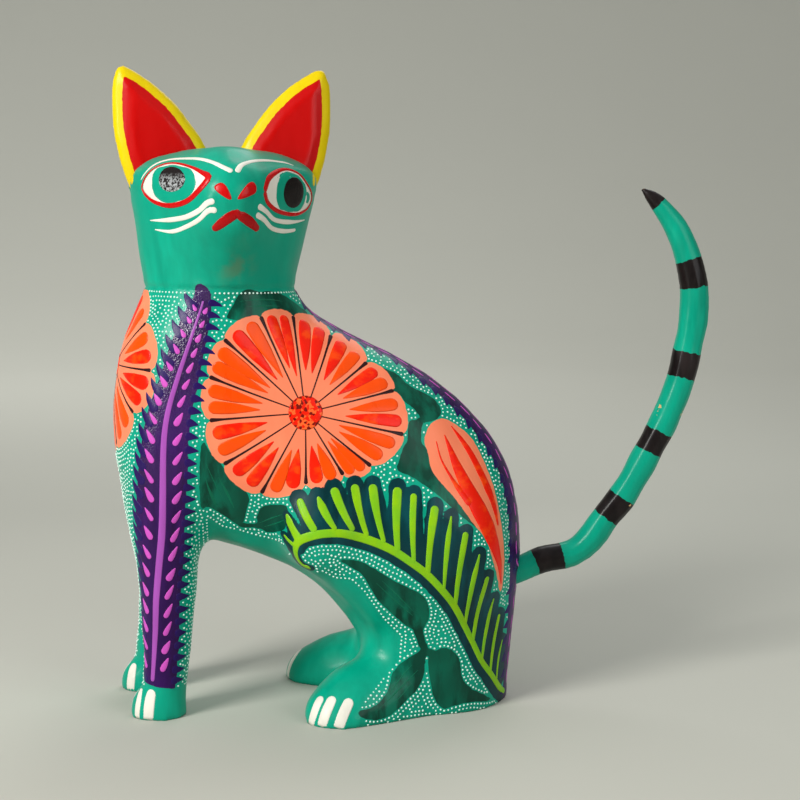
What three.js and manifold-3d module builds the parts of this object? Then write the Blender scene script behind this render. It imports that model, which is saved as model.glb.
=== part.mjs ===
// A seated cat, carved in one block from its paws to its crown, with two ears and a tail carved apart and let in.
// Millimetres, +Z up. The cat faces -X, its tail is at +X, and its head is turned to look along -Y.
import * as THREE from "three";
import { mergeVertices } from "three/addons/utils/BufferGeometryUtils.js";
import { SimplifyModifier } from "three/addons/modifiers/SimplifyModifier.js";
import Module from "manifold-3d";

const wasm = await Module();
wasm.setup();

// Torso
const torsoHeight = 117; // ground to the neck line
const torsoLength = 112; // chest to rump
const torsoWidth = 43;
const torsoRounding = 34; // how far in from its outline the torso reaches its full width

// Head
const headHeight = 37; // neck line to crown
const headWidth = 51.2; // across the cheeks
const headFront = 24; // depth of the face in front of the neck's centre
const headBack = 21; // depth of the skull behind it
const muzzleLength = 6; // how far the muzzle stands out of the face
const muzzleWidth = 20;
const headTurn = 6; // degrees that the face looks past the cat's left side
const neckCrease = 1.2; // width of the crease where the head meets the shoulders

// Ears
const earHeight = 31.5; // lowest corner to tip
const earShare = 0.508; // an ear's width, as a share of the head's
const earGap = 7; // between the two ears at the crown
const earThickness = 5;
const earCup = 1.4; // how deep the front of an ear is hollowed
const earLetIn = 2; // how deep an ear sits in the crown

// Front legs
const legThickness = 12; // just above the paw
const legSpacing = 26; // between the two legs' centres
const legShift = 1.5; // how far both legs stand towards the cat's right
const pawLength = 14.5;
const pawHeight = 9;

// Hind legs
const haunchThickness = 22;
const haunchLength = 62; // knee to the back of the thigh
const haunchHeight = 69;
const haunchSpacing = 29; // between the middles of the two haunches
const thighSwell = 4.5; // how far the thighs swell out past the flanks
const footReach = 17; // toes in front of the ankle
const splay = 24; // degrees that each hind leg turns out
const lean = 5; // degrees that each haunch leans in
const rightStride = 5; // how far the right paws stand ahead of the left ones
const muscleBlend = 6; // width of the soft valleys where the legs grow out of the torso

// Tail
const tailThickness = 8.2;
const tailRise = 108; // root to tip, upwards
const tailReach = 49.5; // root to the tail's rearmost point
const tailRootHeight = 35.5;
const socketDepth = 7;
const tailRings = 48;
const tailSides = 10;

// Fits and facets
const clearance = 0.3; // between a let-in piece and its seat
const bodyFacet = 2.1; // spacing of the corners of the body's surface
const earFacet = 1.6;
const bodyPoints = 3050; // corners left on the body once its flatter places are thinned
const earPoints = 230;
const outlineSteps = 90;
const below = 6; // the carving runs on below the ground, where the base is sawn flat

// Small tools
const clamp = THREE.MathUtils.clamp;
const lerp = THREE.MathUtils.lerp;
const smooth = THREE.MathUtils.smoothstep;
const radians = THREE.MathUtils.degToRad;

// A smooth closed outline through a few points.
function closedOutline(points) {
  const curve = new THREE.CatmullRomCurve3(
    points.map(([x, z]) => new THREE.Vector3(x, 0, z)),
    true,
    "centripetal",
  );
  return curve
    .getPoints(outlineSteps)
    .slice(0, -1)
    .map((p) => [p.x, p.z]);
}

// Distance from an outline's edge, positive inside it.
function depthInside(outline, x, z) {
  let nearest = Infinity;
  let inside = false;
  let [ax, az] = outline[outline.length - 1];
  for (const [bx, bz] of outline) {
    const ex = bx - ax;
    const ez = bz - az;
    const t = clamp(((x - ax) * ex + (z - az) * ez) / (ex * ex + ez * ez), 0, 1);
    const dx = x - ax - t * ex;
    const dz = z - az - t * ez;
    nearest = Math.min(nearest, dx * dx + dz * dz);
    if (az > z !== bz > z && x < ax + ((z - az) * ex) / ez) inside = !inside;
    ax = bx;
    az = bz;
  }
  return inside ? Math.sqrt(nearest) : -Math.sqrt(nearest);
}

// Forms are fields: negative inside, zero on the surface, and about as large as the distance from it.
// A plump slab follows an outline, and reaches its half-width `rounding` in from the edge.
function plump(outline, halfWidth, rounding) {
  return (x, y, z) => {
    const edge = Math.max(0, 1 - depthInside(outline, x, z) / rounding);
    return (Math.hypot(y / halfWidth, edge) - 1) * Math.min(halfWidth, rounding);
  };
}

function ellipsoid([cx, cy, cz], [rx, ry, rz]) {
  const least = Math.min(rx, ry, rz);
  return (x, y, z) => (Math.hypot((x - cx) / rx, (y - cy) / ry, (z - cz) / rz) - 1) * least;
}

// A limb through points [x, y, z, radius].
function limb(points) {
  return (x, y, z) => {
    let nearest = Infinity;
    for (let i = 1; i < points.length; i++) {
      const [ax, ay, az, ar] = points[i - 1];
      const [bx, by, bz, br] = points[i];
      const [ex, ey, ez] = [bx - ax, by - ay, bz - az];
      const along = (x - ax) * ex + (y - ay) * ey + (z - az) * ez;
      const t = clamp(along / (ex * ex + ey * ey + ez * ez), 0, 1);
      const away = Math.hypot(x - ax - t * ex, y - ay - t * ey, z - az - t * ez);
      nearest = Math.min(nearest, away - lerp(ar, br, t));
    }
    return nearest;
  };
}

// Joins two forms with a soft valley between them.
function blend(a, b, width) {
  const h = Math.max(width - Math.abs(a - b), 0) / width;
  return Math.min(a, b) - (h * h * width) / 4;
}

// Moves a point towards the surface along the field's slope, by less than a cell.
function drawnOnto(field, start, cell) {
  const h = 0.05;
  const reach = cell / 2;
  let p = start;
  for (let turn = 0; turn < 3; turn++) {
    const value = field(...p);
    const slope = p.map((_, m) => (field(...p.map((x, n) => (n === m ? x + h : x))) - value) / h);
    const steep = slope.reduce((sum, g) => sum + g * g, 1e-6);
    p = p.map((x, m) => start[m] + clamp(x - (value * slope[m]) / steep - start[m], -reach, reach));
  }
  return p;
}

// The skin of a form: a corner in each grid cell that the surface crosses, and a facet across each grid edge it cuts.
function skin(field, low, high, cell) {
  const [nx, ny, nz] = low.map((v, i) => Math.ceil((high[i] - v) / cell) + 1);
  const at = (i, j, k) => (k * ny + j) * nx + i;
  const step = [at(1, 0, 0), at(0, 1, 0), at(0, 0, 1)];
  const values = new Float64Array(nx * ny * nz);
  for (let k = 0; k < nz; k++)
    for (let j = 0; j < ny; j++)
      for (let i = 0; i < nx; i++)
        values[at(i, j, k)] = field(low[0] + i * cell, low[1] + j * cell, low[2] + k * cell);

  const corners = [];
  for (let n = 0; n < 8; n++) corners.push([n & 1, (n >> 1) & 1, (n >> 2) & 1]);
  const edges = [];
  for (let n = 0; n < 8; n++)
    for (const bit of [1, 2, 4]) if (!(n & bit)) edges.push([n, n | bit]);

  const vertexOf = new Map();
  const positions = [];
  for (let k = 0; k < nz - 1; k++)
    for (let j = 0; j < ny - 1; j++)
      for (let i = 0; i < nx - 1; i++) {
        const v = corners.map(([a, b, c]) => values[at(i + a, j + b, k + c)]);
        const sum = [0, 0, 0];
        let crossings = 0;
        for (const [a, b] of edges) {
          if (v[a] < 0 === v[b] < 0) continue;
          const t = v[a] / (v[a] - v[b]);
          for (let m = 0; m < 3; m++) sum[m] += lerp(corners[a][m], corners[b][m], t);
          crossings++;
        }
        if (!crossings) continue;
        const start = [i, j, k].map((n, m) => low[m] + (n + sum[m] / crossings) * cell);
        vertexOf.set(at(i, j, k), positions.length / 3);
        positions.push(...drawnOnto(field, start, cell));
      }

  const index = [];
  const corner = (n) => new THREE.Vector3().fromArray(positions, 3 * n);
  for (let k = 1; k < nz - 1; k++)
    for (let j = 1; j < ny - 1; j++)
      for (let i = 1; i < nx - 1; i++)
        for (let axis = 0; axis < 3; axis++) {
          const here = at(i, j, k);
          const inHere = values[here] < 0;
          if (inHere === values[here + step[axis]] < 0) continue;
          const u = step[(axis + 1) % 3];
          const w = step[(axis + 2) % 3];
          const ring = [here - u - w, here - w, here, here - u].map((n) => vertexOf.get(n));
          if (!inHere) ring.reverse();
          const [a, b, c, d] = ring;
          const short = corner(a).distanceTo(corner(c)) < corner(b).distanceTo(corner(d));
          index.push(...(short ? [a, b, c, a, c, d] : [a, b, d, b, c, d]));
        }
  return indexed(positions, index);
}

function indexed(positions, index) {
  const geometry = new THREE.BufferGeometry();
  geometry.setAttribute("position", new THREE.Float32BufferAttribute(positions, 3));
  geometry.setIndex(Array.from(index));
  return geometry;
}

// Thins a closed skin to about `points` corners.
async function thinned(geometry, points) {
  const extra = geometry.getAttribute("position").count - points;
  return await new SimplifyModifier().modify(geometry, extra);
}

// Between geometry and solids, for cutting and joining.
function solidOf(geometry) {
  const bare = indexed(geometry.getAttribute("position").array, geometry.getIndex().array);
  const merged = mergeVertices(bare);
  const vertProperties = Float32Array.from(merged.getAttribute("position").array);
  const triVerts = Uint32Array.from(merged.getIndex().array);
  return new wasm.Manifold(new wasm.Mesh({ numProp: 3, vertProperties, triVerts }));
}

function geometryOf(solid) {
  const mesh = solid.getMesh();
  const geometry = indexed(mesh.vertProperties, mesh.triVerts);
  geometry.computeVertexNormals();
  return geometry;
}

// Places that the pieces share, measured from the middle of the head's turn.
const chestX = -78;
const neckX = chestX + torsoLength * 0.253;
const legX = chestX + torsoLength * 0.118;
const hipX = chestX + torsoLength * 0.625;
const rumpX = chestX + torsoLength;

// Torso: chest, belly, seat, rump, back and neck, in shares of its length from the chest and of its height.
const torsoShares = [
  [0.075, 0.997], [0.042, 0.93], [0.01, 0.845], [-0.008, 0.735], [-0.008, 0.64], [0.006, 0.54],
  [0.03, 0.44], [0.075, 0.385], [0.2, 0.4], [0.34, 0.362], [0.45, 0.31], [0.53, 0.24],
  [0.6, 0.14], [0.66, 0.03], [0.7, -0.09], [0.93, -0.09], [0.962, -0.04], [0.97, 0.06],
  [0.988, 0.22], [1, 0.36], [0.985, 0.51], [0.94, 0.615], [0.87, 0.7], [0.79, 0.768],
  [0.68, 0.835], [0.56, 0.89], [0.47, 0.944], [0.435, 0.995], [0.415, 1.045], [0.25, 1.08], [0.1, 1.05],
];
const torsoOutline = closedOutline(torsoShares.map(([x, z]) => [chestX + x * torsoLength, z * torsoHeight]));
const torso = plump(torsoOutline, torsoWidth / 2, torsoRounding);

// One hind leg: a slab with the outline of knee, shin, foot, heel and thigh, splayed, and swollen at the thigh.
function hindLeg(side) {
  const reach = footReach + (side > 0 ? rightStride : 0);
  const knee = haunchLength * 0.42;
  const ankle = haunchLength * 0.06;
  const up = (share) => share * haunchHeight;
  const slab = plump(
    closedOutline([
      [-knee, up(0.79)], [-knee * 0.99, up(0.7)], [-knee * 0.84, up(0.615)], [-knee * 0.5, up(0.565)],
      [-knee * 0.2, up(0.5)], [-knee * 0.03, up(0.41)], [knee * 0.02, up(0.32)], [-reach * 0.15, up(0.24)],
      [-ankle - reach * 0.5, up(0.175)], [-ankle - reach * 0.94, up(0.07)], [-ankle - reach, up(-0.04)],
      [-ankle - reach * 0.9, -below], [haunchLength * 0.52, -below], [haunchLength * 0.56, up(0.1)],
      [haunchLength * 0.56, up(0.4)], [haunchLength * 0.46, up(0.75)], [haunchLength * 0.25, up(0.94)],
      [-haunchLength * 0.02, up(1.02)], [-knee * 0.7, up(0.97)], [-knee * 0.92, up(0.88)],
    ]),
    haunchThickness / 2,
    haunchThickness * 0.62,
  );
  const thigh = ellipsoid(
    [hipX + haunchLength * 0.17, side * (torsoWidth / 2 - thighSwell), up(0.66)],
    [haunchLength * 0.35, thighSwell * 2, up(0.29)],
  );
  const turn = radians(splay);
  const tilt = Math.tan(radians(lean));
  return (x, y, z) => {
    const out = y * side - haunchSpacing / 2 + z * tilt;
    const back = x - hipX;
    const along = back * Math.cos(turn) - out * Math.sin(turn);
    const across = back * Math.sin(turn) + out * Math.cos(turn);
    return blend(slab(along, across, z), thigh(x, y, z), muscleBlend);
  };
}

// One front leg, from the shoulder down to its paw.
function frontLeg(side) {
  const out = (side * legSpacing) / 2 + legShift;
  const ahead = side > 0 ? rightStride : 0;
  const r = legThickness / 2;
  const leg = limb([
    [legX + r, out * 0.62, torsoHeight * 0.86, r * 1.75],
    [legX + 1, out * 0.74, torsoHeight * 0.6, r * 1.85],
    [legX + 0.4, out * 0.9, torsoHeight * 0.42, r * 1.5],
    [legX + 0.4 - ahead * 0.4, out, torsoHeight * 0.29, r * 1.25],
    [legX - ahead * 0.7, out, torsoHeight * 0.16, r * 1.07],
    [legX - 1 - ahead, out, pawHeight * 0.5, r * 0.93],
    [legX - 1 - ahead, out, -below, r * 0.9],
  ]);
  const sole = pawHeight * 0.2;
  const paw = ellipsoid([legX - pawLength / 5 - ahead, out, sole], [pawLength / 2, r * 0.98, pawHeight - sole]);
  return (x, y, z) => blend(leg(x, y, z), paw(x, y, Math.max(z, sole)), 2);
}

// Points in the head's own frame: x across the face, y back from it, z up from the neck line.
const cheeks = headHeight * 0.735; // height of the head's widest place
const headLean = 0.055; // how far the head leans towards the tail, for each millimetre up to the cheeks
const faceTurn = radians(headTurn);
function inHead(x, y, z) {
  const up = z - torsoHeight;
  const across = x - neckX - headLean * Math.min(up, cheeks);
  return [
    across * Math.cos(faceTurn) + y * Math.sin(faceTurn),
    y * Math.cos(faceTurn) - across * Math.sin(faceTurn),
    up,
  ];
}

// The muzzle slopes out from the brow to the nose, and back in below the mouth.
const nose = muzzleWidth * 0.42 - headFront - muzzleLength;
const muzzle = limb([
  [0, -headFront * 0.6, headHeight * 0.78, muzzleWidth * 0.3],
  [0, nose, headHeight * 0.63, muzzleWidth * 0.4],
  [0, nose + muzzleLength * 0.2, headHeight * 0.53, muzzleWidth * 0.42],
  [0, -headFront * 0.45, headHeight * 0.28, muzzleWidth * 0.36],
]);

// Head: it widens from the neck to the cheeks, and is domed from there to the crown. A soft keel runs down its front.
function head(x, y, z) {
  const [hx, hy, hz] = inHead(x, y, z);
  const t = clamp(hz / cheeks, -0.4, 1);
  const narrowing = 1 + Math.min(t, 0) / 2;
  const wide = (headWidth / 2) * lerp(0.79, 1, t);
  const front = headFront * lerp(0.78, 1, smooth(t, 0, 0.95)) * narrowing;
  const back = headBack * lerp(0.88, 1, t) * narrowing;
  const deep = hy < 0 ? front : back;
  const keen = hy < 0 ? 1.75 : 2.1;
  const section = Math.pow(Math.pow(Math.abs(hx) / wide, keen) + Math.pow(Math.abs(hy) / deep, keen), 1 / keen);
  const dome = Math.max(0, hz - cheeks) / (headHeight - cheeks);
  const round = 2.3;
  const skull = Math.pow(Math.pow(section, round) + Math.pow(dome, round), 1 / round) - 1;
  const face = blend(skull * Math.min(wide, deep), muzzle(hx, hy, hz), muzzleWidth * 0.45);
  return Math.max(face, -hz - torsoHeight * 0.05);
}

const hindLegs = [hindLeg(-1), hindLeg(1)];
const frontLegs = [frontLeg(-1), frontLeg(1)];

function wholeBody(x, y, z) {
  const [leftFront, rightFront] = frontLegs.map((leg) => leg(x, y, z));
  const [leftHind, rightHind] = hindLegs.map((leg) => leg(x, y, z));
  const forequarters = blend(torso(x, y, z), blend(leftFront, rightFront, 2), muscleBlend);
  const trunk = blend(forequarters, Math.min(leftHind, rightHind), muscleBlend);
  return Math.max(blend(trunk, head(x, y, z), neckCrease), -z - below);
}

// Ears: outer corner, tip, inner edge and crown, in shares of the ear's width and height.
const earShares = [
  [0.74, -0.14], [0.85, 0], [0.93, 0.2], [0.985, 0.43], [1, 0.66], [0.985, 0.88], [0.94, 0.975], [0.88, 1],
  [0.79, 0.965], [0.59, 0.86], [0.37, 0.7], [0.2, 0.52], [0.07, 0.36], [0, 0.2], [0, 0.02], [0.2, -0.14],
];
const earWidth = headWidth * earShare;
function ear(side) {
  const outline = closedOutline(earShares.map(([x, z]) => [earGap / 2 + x * earWidth, cheeks + z * earHeight]));
  const half = earThickness / 2;
  return (x, y, z) => {
    const [hx, hy, hz] = inHead(x, y, z);
    const inside = depthInside(outline, hx * side, hz);
    const edge = Math.max(0, 1 - inside / half);
    const thinning = lerp(1, 0.72, clamp((hz - cheeks) / earHeight, 0, 1));
    const hollow = hy < 0 ? earCup * smooth(inside, half * 0.4, earWidth * 0.22) : 0;
    return (Math.hypot((hy + hollow) / (half * thinning), edge) - 1) * half;
  };
}

// Tail: it leaves the rump almost level, turns up in two bends and leans back over at the tip.
const tailShares = [
  [0, 0.004], [0.16, 0.03], [0.33, 0.05], [0.42, 0.085], [0.5, 0.14], [0.59, 0.19], [0.74, 0.31],
  [0.86, 0.42], [0.93, 0.51], [0.99, 0.65], [1, 0.72], [0.98, 0.78], [0.9, 0.885], [0.79, 0.955], [0.68, 1],
];
const tailTaper = 0.72; // share of the tail's length at which it starts to taper
function tail(depth, room) {
  const root = new THREE.Vector3(rumpX - depth, 0, tailRootHeight - depth * 0.27);
  const rest = tailShares.map(
    ([back, up]) => new THREE.Vector3(rumpX + back * tailReach, 0, tailRootHeight + up * tailRise),
  );
  const path = new THREE.CatmullRomCurve3([root, ...rest], false, "centripetal");
  const frames = path.computeFrenetFrames(tailRings, false);
  const positions = [];
  const index = [];
  for (let i = 0; i <= tailRings; i++) {
    const t = i / tailRings;
    const centre = path.getPointAt(t);
    const tip = Math.pow(clamp((t - tailTaper) / (1.003 - tailTaper), 0, 1), 2.2);
    const radius = (tailThickness / 2) * lerp(0.93, 1, smooth(t, 0, 0.35)) * Math.sqrt(1 - tip) + room;
    for (let j = 0; j < tailSides; j++) {
      const turn = (2 * Math.PI * j) / tailSides;
      const p = centre
        .clone()
        .addScaledVector(frames.normals[i], radius * Math.cos(turn))
        .addScaledVector(frames.binormals[i], radius * Math.sin(turn));
      positions.push(p.x, p.y, p.z);
      if (i === tailRings) continue;
      const next = (j + 1) % tailSides;
      const [a, b] = [i * tailSides + j, i * tailSides + next];
      const [c, d] = [b + tailSides, a + tailSides];
      index.push(a, b, c, a, c, d);
    }
  }
  const ends = positions.length / 3;
  positions.push(...path.getPointAt(0).toArray(), ...path.getPointAt(1).toArray());
  for (let j = 0; j < tailSides; j++) {
    const next = (j + 1) % tailSides;
    index.push(ends, next, j);
    index.push(ends + 1, tailRings * tailSides + j, tailRings * tailSides + next);
  }
  return solidOf(indexed(positions, index));
}

// Body: its skin, sawn flat at the ground.
const margin = 3 * bodyFacet;
const crown = torsoHeight + headHeight;
const halfWide = haunchSpacing + haunchThickness;
const bodyLow = [chestX - margin, -halfWide, -below - margin];
const bodyHigh = [rumpX + margin, halfWide, crown + margin];
const bodySkin = await thinned(skin(wholeBody, bodyLow, bodyHigh, bodyFacet), bodyPoints);
const ground = new THREE.BoxGeometry(4 * torsoLength, 4 * torsoLength, 4 * below).translate(0, 0, -2 * below);
let body = solidOf(bodySkin).subtract(solidOf(ground));

// The head a little smaller all round, as a seat for the ears.
function headWithin(depth) {
  const low = [neckX - headWidth, -headWidth, torsoHeight - 2 * margin];
  const high = [neckX + headWidth, headWidth, crown + margin];
  return solidOf(skin((x, y, z) => head(x, y, z) + depth, low, high, bodyFacet));
}

// Ears are let into the crown, and the tail into a blind socket in the rump.
const earLow = [neckX - headWidth, -2 * earThickness, torsoHeight + headHeight * 0.3];
const earHigh = [neckX + headWidth, 2 * earThickness, torsoHeight + cheeks + earHeight * 1.1];
const seat = headWithin(earLetIn);
const deeperSeat = headWithin(earLetIn + clearance);
const ears = [];
for (const side of [1, -1]) {
  const blade = ear(side);
  const room = (x, y, z) => blade(x, y, z) - clearance;
  const carved = solidOf(await thinned(skin(blade, earLow, earHigh, earFacet), earPoints));
  ears.push(carved.subtract(seat));
  body = body.subtract(solidOf(skin(room, earLow, earHigh, earFacet)).subtract(deeperSeat));
}
body = body.subtract(tail(socketDepth + clearance, clearance));

// The finished cat, standing on the ground with the middle of its footprint at the origin
const teal = 0x0aa583;
const red = 0xc41010;
const cat = new THREE.Group();
for (const [name, solid, color] of [
  ["body", body, teal],
  ["left_ear", ears[0], red],
  ["right_ear", ears[1], red],
  ["tail", tail(socketDepth, 0), teal],
]) {
  const paint = new THREE.MeshStandardMaterial({ color, roughness: 0.42, metalness: 0 });
  const piece = new THREE.Mesh(geometryOf(solid), paint);
  piece.name = name;
  cat.add(piece);
}
const box = new THREE.Box3().setFromObject(cat);
cat.position.set(-(box.min.x + box.max.x) / 2, -(box.min.y + box.max.y) / 2, -box.min.z);

export default cat;
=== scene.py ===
import math
import random

import bmesh
import bpy
import numpy as np
from mathutils import Matrix, Quaternion, Vector
from mathutils.bvhtree import BVHTree
from mathutils.kdtree import KDTree


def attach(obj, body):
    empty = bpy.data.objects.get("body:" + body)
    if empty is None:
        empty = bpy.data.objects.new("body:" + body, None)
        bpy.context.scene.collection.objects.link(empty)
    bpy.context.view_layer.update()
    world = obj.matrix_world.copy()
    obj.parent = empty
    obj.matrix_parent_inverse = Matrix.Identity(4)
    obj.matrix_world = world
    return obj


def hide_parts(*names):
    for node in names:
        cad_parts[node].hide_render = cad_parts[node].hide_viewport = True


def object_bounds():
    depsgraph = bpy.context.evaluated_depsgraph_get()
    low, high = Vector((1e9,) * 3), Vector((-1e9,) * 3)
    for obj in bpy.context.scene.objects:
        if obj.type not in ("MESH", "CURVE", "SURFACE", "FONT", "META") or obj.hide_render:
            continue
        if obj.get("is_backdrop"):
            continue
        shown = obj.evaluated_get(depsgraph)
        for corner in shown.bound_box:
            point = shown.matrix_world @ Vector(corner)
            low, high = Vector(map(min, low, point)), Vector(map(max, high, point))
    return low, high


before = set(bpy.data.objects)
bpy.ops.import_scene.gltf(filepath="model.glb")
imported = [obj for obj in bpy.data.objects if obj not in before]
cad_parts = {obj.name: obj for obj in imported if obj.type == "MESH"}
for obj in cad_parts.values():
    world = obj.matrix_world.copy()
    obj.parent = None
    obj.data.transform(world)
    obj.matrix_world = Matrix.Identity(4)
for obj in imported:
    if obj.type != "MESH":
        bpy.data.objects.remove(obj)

scene = bpy.context.scene
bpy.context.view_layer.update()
mm = 0.001

# Lengths below are millimetres. X runs from the chest to the tail, the photographed flank faces -Y, Z is up.

# Camera, light and floor
studio = {
    "cameraAt": (-40.07, -415.63, 132.0),
    "turn": -5.0,          # degrees
    "lookDown": 6.466,     # degrees
    "lens": 67.5,
    "floorColour": (0.51, 0.51, 0.45),
    "floorReach": 1100, "bend": 1500, "wall": 2000,
    "roomLight": 0.54,
    "lights": [            # where it hangs, what it points at, size, watts, colour
        ((-520, -410, 430), (-30, 0, 95), 270, 4.5, (1.0, 0.98, 0.95)),
        ((-560, -330, 190), (-50, -10, 95), 110, 0.6, (1.0, 1.0, 1.0)),
        ((420, -520, 300), (0, 0, 110), 420, 1.3, (0.97, 0.99, 1.0)),
        ((160, 380, 560), (0, 0, 90), 420, 1.15, (0.97, 0.99, 1.0)),
        ((-200, 700, 900), (-250, 2000, 300), 700, 8.5, (1.0, 1.0, 1.0)),
    ],
}


def lookingAt(kind, data, place, target):
    thing = bpy.data.objects.new(kind, data)
    scene.collection.objects.link(thing)
    thing.location = Vector(place) * mm
    thing.rotation_euler = (Vector(target) - Vector(place)).to_track_quat("-Z", "Y").to_euler()
    return thing


turn, down = math.radians(studio["turn"]), math.radians(studio["lookDown"])
ahead = Vector((-math.sin(turn) * math.cos(down), math.cos(turn) * math.cos(down), -math.sin(down)))
camera = bpy.data.cameras.new("camera")
camera.lens, camera.sensor_width = studio["lens"], 36
camera.clip_start, camera.clip_end = 0.01, 20
scene.camera = lookingAt("camera", camera, studio["cameraAt"], Vector(studio["cameraAt"]) + 100 * ahead)
for n, (place, target, size, watts, colour) in enumerate(studio["lights"]):
    lamp = bpy.data.lights.new(f"softbox{n}", "AREA")
    lamp.shape, lamp.size, lamp.energy, lamp.color = "DISK", size * mm, watts, colour
    lookingAt(f"softbox{n}", lamp, place, target)
room = bpy.data.worlds.new("room")
room.use_nodes = True
room.node_tree.nodes["Background"].inputs[0].default_value = (0.86, 0.88, 0.9, 1)
room.node_tree.nodes["Background"].inputs[1].default_value = studio["roomLight"]
scene.world = room
scene.view_settings.view_transform = "Standard"
print("studio ready")


# Materials
def linear(colour):
    """8-bit screen colour to the renderer's own."""
    return tuple((c / 12.92 if c <= 0.04045 else ((c + 0.055) / 1.055) ** 2.4) for c in (v / 255 for v in colour)) + (1.0,)


def node(tree, kind, inputs=None, **settings):
    made = tree.nodes.new(kind)
    for key, value in settings.items():
        setattr(made, key, value)
    for key, value in (inputs or {}).items():
        if isinstance(value, bpy.types.NodeSocket):
            tree.links.new(value, made.inputs[key])
        else:
            made.inputs[key].default_value = value
    return made


def noise(tree, coordinates, scale, detail=3.0, stretch=(1, 1, 1), roughness=0.55):
    moved = node(tree, "ShaderNodeMapping", {"Vector": coordinates, "Scale": stretch})
    return node(tree, "ShaderNodeTexNoise", {"Vector": moved.outputs[0], "Scale": scale, "Detail": detail, "Roughness": roughness}).outputs[0]


def ramp(tree, value, low, high, out=(0, 1)):
    return node(tree, "ShaderNodeMapRange", {0: value, 1: low, 2: high, 3: out[0], 4: out[1]}).outputs[0]


def mixed(tree, factor, a, b, blend="MIX"):
    return node(tree, "ShaderNodeMix", {0: factor, 6: a, 7: b}, data_type="RGBA", blend_type=blend).outputs[2]


def shade(colour, amount):
    return tuple(min(1, c * amount) for c in colour[:3]) + (1.0,)


paints = {  # screen colours of the paints
    "teal": (0, 158, 129), "leaf": (0, 77, 59), "leafLight": (2, 102, 74), "fern": (0, 56, 61), "lime": (140, 196, 14),
    "salmon": (255, 136, 98), "red": (248, 28, 0), "orange": (255, 78, 0), "plume": (46, 8, 77), "plumeEdge": (37, 12, 86),
    "violet": (163, 79, 175), "pink": (204, 83, 190), "dot": (222, 248, 238), "mouthRed": (172, 6, 10), "line": (44, 16, 18), "white": (233, 229, 217), "faceRed": (200, 10, 12), "earRed": (196, 3, 2),
    # the pupil's silvery grey is a painted reflection of glossy paint, not a paint of its own
    "yellow": (229, 201, 0), "black": (26, 20, 20), "wood": (214, 176, 120), "reflectionGrey": (176, 180, 182),
}
brush = {"streak": 0.16, "streakScale": 260.0, "bumpHeight": 0.05, "gloss": 0.34, "glossSpread": 0.12, "shine": 0.13, "coat": 0.1, "glazeCoat": 0.8, "edgeWobble": 0.25, "grain": 11.0}


def acrylic(name, paint, gloss=None, streak=None, areas=(), extras=None, rough=None):
    """Brushed acrylic: a base coat, then each area over it where its attribute is above zero."""
    material = bpy.data.materials.new(name)
    material.use_nodes = True
    tree = material.node_tree
    shader = tree.nodes["Principled BSDF"]
    place = node(tree, "ShaderNodeTexCoord").outputs["Object"]
    gloss = brush["gloss"] if gloss is None else gloss
    streak = brush["streak"] if streak is None else streak
    fine = noise(tree, place, brush["streakScale"], 5.0, (1.0, 1.0, 0.22))
    broad = noise(tree, place, 45.0, 2.0)
    wobble = ramp(tree, noise(tree, place, 520.0, 2.0), 0.25, 0.75, (-brush["edgeWobble"], brush["edgeWobble"]))

    def coat(colour, streaks):
        reach = 0.24 - 0.3 * streaks
        lit = mixed(tree, ramp(tree, fine, 0.51 - reach, 0.51 + reach), shade(colour, 1 - streaks), shade(colour, 1 + streaks * 0.6 + streaks ** 2 * 3))
        return mixed(tree, ramp(tree, broad, 0.35, 0.7), lit, shade(colour, 1 - streaks * 0.5))

    colour = coat(linear(paints[paint]), streak)
    for attribute, over, ragged, streaks in areas:
        edge = node(tree, "ShaderNodeAttribute", attribute_name=attribute).outputs["Fac"]
        edge = node(tree, "ShaderNodeMath", {0: wobble, 1: ragged, 2: edge}, operation="MULTIPLY_ADD").outputs[0]
        colour = mixed(tree, ramp(tree, edge, -0.05, 0.05), colour, coat(linear(paints[over]), streaks))
    if extras:
        colour = extras(tree, place, colour)
    tree.links.new(colour, shader.inputs["Base Color"])
    uneven = ramp(tree, fine, 0.25, 0.8, (gloss - brush["glossSpread"] / 2, gloss + brush["glossSpread"]))
    tree.links.new(uneven, shader.inputs["Roughness"])
    shader.inputs["Specular IOR Level"].default_value = brush["shine"]
    shader.inputs["Coat Weight"].default_value = brush["coat"]
    shader.inputs["Coat Roughness"].default_value = 0.16
    grain = noise(tree, place, 900.0, 3.0, (1, 1, 0.3))
    height = node(tree, "ShaderNodeMath", {0: fine, 1: 1.6, 2: grain}, operation="MULTIPLY_ADD").outputs[0]
    if rough:  # an area's attribute, and the heights between which its paint dries glossier and grainy
        edge = node(tree, "ShaderNodeAttribute", attribute_name=rough[0]).outputs["Fac"]
        high = ramp(tree, node(tree, "ShaderNodeSeparateXYZ", {0: place}).outputs[2], rough[1] * mm, rough[2] * mm)
        share = node(tree, "ShaderNodeMath", {0: ramp(tree, edge, -1.6, 0.6), 1: high}, operation="MULTIPLY").outputs[0]
        grainy = node(tree, "ShaderNodeMath", {0: noise(tree, place, 2300.0, 1.0), 1: share}, operation="MULTIPLY").outputs[0]
        height = node(tree, "ShaderNodeMath", {0: grainy, 1: brush["grain"], 2: height}, operation="MULTIPLY_ADD").outputs[0]
        tree.links.new(ramp(tree, share, 0, 1, (brush["coat"], brush["glazeCoat"])), shader.inputs["Coat Weight"])
    bump = node(tree, "ShaderNodeBump", {"Height": height, "Strength": 0.35, "Distance": brush["bumpHeight"] * mm})
    tree.links.new(bump.outputs[0], shader.inputs["Normal"])
    tree.links.new(bump.outputs[0], shader.inputs["Coat Normal"])
    return material


# The carved surfaces
def paired(values, first, second, count):
    """Sum of each vertex's neighbours."""
    return np.stack([np.bincount(first, values[:, k][second], count) + np.bincount(second, values[:, k][first], count) for k in range(3)], 1)


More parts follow.
